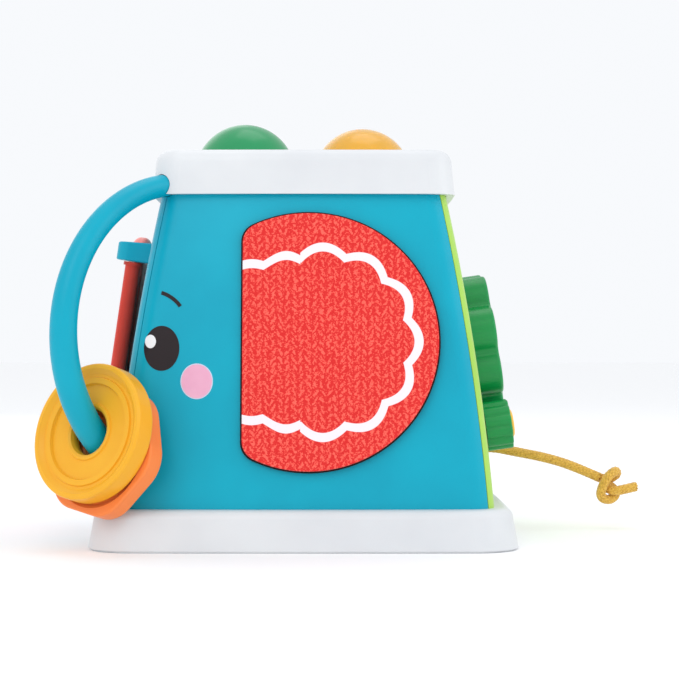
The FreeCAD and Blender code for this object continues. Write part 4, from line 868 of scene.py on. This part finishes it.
# ---- fabric ear ------------------------------------------------------------------------------
@dataclass
class EarFlap:
    """The D-shaped ear: a printed knit front sewn along its straight edge, on a dark layer 0.8 mm larger that
    shows as a dark rim round its edge.
    """

    MAP = "flat_map"
    MAP_MM = 130.0
    radius_mm: float = 59.0
    edge_mm: float = 29.9
    corner_mm: float = 9.0
    plate_mm: float = 2.0
    front_mm: float = 1.35
    back_mm: float = 0.5
    back_grow_mm: float = 0.8
    lift_mm: float = 1.4
    bend_mm: float = 8.0
    columns: int = 84
    rows: int = 120
    tip_share: float = 0.985  # the top and bottom rows stop this share of the way to the pole
    pucker_mm: float = 0.22
    edge_round: float = 0.3  # rounding of a layer's edges, as a share of its thickness

    def build(self) -> None:
        front = self._layer(0.0, self.back_mm, self.front_mm)
        back = self._layer(self.back_grow_mm, 0.0, self.back_mm)
        finish_piece(front, "ear_knit_front", PrintedKnit().make())
        # The back layer is dark and 0.8 mm larger than the front, so it shows as a dark rim round the ear's edge.
        rim_felt = Felt("dark_rim_felt", "#23171A", "#150E10")
        finish_piece(back, "ear_dark_rim_layer", rim_felt.make())
        for layer in (front, back):
            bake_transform(layer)
        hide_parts("ear_flap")

    def _joint(self) -> dict[str, object]:
        """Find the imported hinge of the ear.

        Returns:
            The frame's entry for it, with its place and axis.
        """
        return next(j for j in frame["joints"] if j["name"] == "flap_hinge")

    def _placement(self) -> Matrix:
        """Find where the ear's plane lies.

        Returns:
            A matrix from the ear's flat millimetres, x away from the hinge, y up and z out of
            the panel, to the frame.
        """
        joint = self._joint()
        rise = -Vector(joint["axis"]).normalized()
        away = Vector((1, 0, 0))
        out = away.cross(rise)
        origin = Vector(joint["pos_m"]) + away * (self.edge_mm * MM)
        origin -= out * (self.plate_mm / 2 * MM)
        turn = Matrix((away, rise, out)).transposed().to_4x4()
        return Matrix.Translation(origin) @ turn @ Matrix.Scale(MM, 4)

    def _left(self, y: float, grow: float) -> float:
        """Find the ear's hinge-side limit at a height.

        Args:
            y: Height above the ear's middle, in millimetres.
            grow: How much larger than nominal the outline is.

        Returns:
            The outline's x there: the straight edge, a corner's arc or the round side.
        """
        radius = self.radius_mm + grow
        edge = self.edge_mm + grow
        corner = self.corner_mm
        middle = math.sqrt((radius - corner) ** 2 - (edge - corner) ** 2)
        height = abs(y)
        if height <= middle:
            return -edge
        if height <= middle * radius / (radius - corner):
            return -edge + corner - math.sqrt(max(corner ** 2 - (height - middle) ** 2, 0.0))
        return -math.sqrt(max(radius ** 2 - y * y, 0.0))

    def _layer(self, grow: float, low: float, thick: float) -> bpy.types.Object:
        """Shape one layer of cloth.

        Args:
            grow: How much larger than nominal its outline is, in millimetres.
            low: Height of its underside above the ear's back.
            thick: Its thickness.

        Returns:
            A closed thin mesh in its place, with a flat map in millimetres.
        """
        deselect()
        bpy.ops.mesh.primitive_grid_add(
            x_subdivisions=self.columns, y_subdivisions=self.rows, size=2)
        sheet = bpy.context.object
        mesh = sheet.data
        radius = self.radius_mm + grow
        for vertex in mesh.vertices:
            share = (vertex.co.x + 1) / 2
            y = radius * math.sin(vertex.co.y * math.pi / 2 * self.tip_share)
            left = self._left(y, grow)
            right = math.sqrt(radius ** 2 - y * y)
            x = left + (right - left) * share
            vertex.co = (x, y, low + self._swell(x, y))
        layer = mesh.uv_layers[0] if mesh.uv_layers else mesh.uv_layers.new()
        layer.name = self.MAP
        for loop in mesh.loops:
            place = mesh.vertices[loop.vertex_index].co
            layer.data[loop.index].uv = (place.x / self.MAP_MM + 0.5, place.y / self.MAP_MM + 0.5)
        mesh.transform(self._placement())
        apply_modifier(sheet, "SOLIDIFY", thickness=thick * MM, offset=1.0, use_even_offset=True)
        apply_modifier(sheet, "BEVEL", width=thick * self.edge_round * MM, segments=2,
                       limit_method="ANGLE", angle_limit=math.radians(50))
        smooth(sheet, 50)
        return sheet

    def _swell(self, x: float, y: float) -> float:
        """How far the cloth stands off its flat plane.

        Args:
            x: Distance from the ear's middle, away from the hinge.
            y: Height above the ear's middle.

        Returns:
            Lift towards the free side, with shallow puckers, in millimetres.
        """
        free = max((x + self.edge_mm) / (self.radius_mm + self.edge_mm), 0.0)
        pucker = math.sin(x * 0.115 + 0.9) * math.sin(y * 0.084 + 0.4)
        pucker += 0.4 * math.sin(y * 0.21 - x * 0.09)
        return self.lift_mm * free ** 2.2 + self.pucker_mm * pucker * free


# ---- printed face ----------------------------------------------------------------------------
@dataclass
class FacePrint:
    """Pad-printed eye, glint, eyebrow and cheek on the teal panel beside the ear."""

    ink_mm: float = 0.1
    start_y: float = -0.1  # metres, well in front of the panel that the marks are laid on
    rim_mm: float = 0.8  # how much wider the pale rim is than the cheek
    eye_mm: tuple[float, float] = (-64.3, 91.0)
    eye_size_mm: tuple[float, float] = (16.2, 20.4)
    glint_mm: tuple[float, float] = (-69.4, 94.1)
    glint_size_mm: tuple[float, float] = (5.0, 6.1)
    cheek_mm: tuple[float, float] = (-48.2, 76.1)
    cheek_size_mm: tuple[float, float] = (13.9, 15.3)
    brow_mm: tuple[tuple[float, float], ...] = ((-64.7, 116.3), (-59.3, 114.6), (-56.0, 110.1))
    brow_width_mm: float = 1.7

    def build(self) -> None:
        """Print every mark and let it ride on the body."""
        dark = MouldedPlastic("warm_black_ink", "#281D21", "#231A1D", 0.3, grain_depth_mm=0.004)
        white = MouldedPlastic("white_ink", "#F4F2F4", "#ECEBEE", 0.35, grain_depth_mm=0.004)
        pink = MouldedPlastic("pink_ink", "#EDB1CB", "#E9A9C6", 0.4, 9.0, grain_depth_mm=0.004)
        pale = MouldedPlastic("pale_ink", "#CFE4F2", "#C6DEEE", 0.4, grain_depth_mm=0.004)
        rim = (self.cheek_size_mm[0] + self.rim_mm, self.cheek_size_mm[1] + self.rim_mm)
        marks = (
            ("eye_print", self._disc(self.eye_mm, self.eye_size_mm, 1), dark),
            ("eye_glint", self._disc(self.glint_mm, self.glint_size_mm, 2), white),
            ("cheek_rim", self._disc(self.cheek_mm, rim, 1), pale),
            ("cheek_print", self._disc(self.cheek_mm, self.cheek_size_mm, 2), pink),
            ("brow_print", self._brow(), dark),
        )
        made: dict[str, bpy.types.Material] = {}
        for name, mark, ink in marks:
            if ink.name not in made:
                made[ink.name] = ink.make()
            finish_piece(mark, name, made[ink.name])
            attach(mark, "root")

    def _disc(
        self, centre: tuple[float, float], size: tuple[float, float], coat: int
    ) -> bpy.types.Object:
        """Print an oval.

        Args:
            centre: Its x and z in millimetres.
            size: Its width and height.
            coat: Which coat of ink it is, counted from the panel.

        Returns:
            A thin oval that follows the panel.
        """
        deselect()
        bpy.ops.mesh.primitive_circle_add(
            vertices=72, radius=0.5, fill_type="TRIFAN", rotation=(math.pi / 2, 0, 0),
            location=(centre[0] * MM, self.start_y, centre[1] * MM))
        mark = bpy.context.object
        mark.scale = (size[0] * MM, size[1] * MM, 1)
        settle(mark)
        return self._print(mark, coat)

    def _brow(self) -> bpy.types.Object:
        """Print the eyebrow's short bent stroke.

        Returns:
            A thin stroke that follows the panel.
        """
        deselect()
        bpy.ops.mesh.primitive_grid_add(x_subdivisions=24, y_subdivisions=4, size=2)
        mark = bpy.context.object
        start, bend, end = (Vector(p) for p in self.brow_mm)
        for vertex in mark.data.vertices:
            share = (vertex.co.x + 1) / 2
            place = start * (1 - share) ** 2 + bend * 2 * share * (1 - share) + end * share ** 2
            way = ((bend - start) * (1 - share) + (end - bend) * share).normalized()
            place += Vector((-way.y, way.x)) * (vertex.co.y * self.brow_width_mm / 2)
            vertex.co = (place.x * MM, self.start_y, place.y * MM)
        return self._print(mark, 1)

    def _print(self, mark: bpy.types.Object, coat: int) -> bpy.types.Object:
        """Lay a flat mark on the panel and give it the ink's thickness.

        Args:
            mark: A flat mesh in front of the panel.
            coat: Which coat of ink it is.

        Returns:
            The same object, finished.
        """
        select_only(mark)
        bpy.ops.object.mode_set(mode="EDIT")
        bpy.ops.mesh.select_all(action="SELECT")
        bpy.ops.mesh.subdivide(number_cuts=3)
        bpy.ops.object.mode_set(mode="OBJECT")
        apply_modifier(mark, "SHRINKWRAP", wrap_method="PROJECT", use_project_y=True,
                       use_negative_direction=False, use_positive_direction=True,
                       target=frame["nodes"]["front_panel"],
                       offset=self.ink_mm * (coat - 0.5) * MM)
        apply_modifier(mark, "SOLIDIFY", thickness=self.ink_mm * MM, offset=1.0)
        smooth(mark, 40)
        return mark


def main() -> None:
    """Build the studio, the cord and every soft or printed piece, and dress the frame."""
    logging.basicConfig(level=logging.INFO, format="%(name)s: %(message)s")
    Studio().build()
    Tail().build()
    CadDress().dress_all()
    EarFlap().build()
    FacePrint().build()


if __name__ == "__main__":
    main()
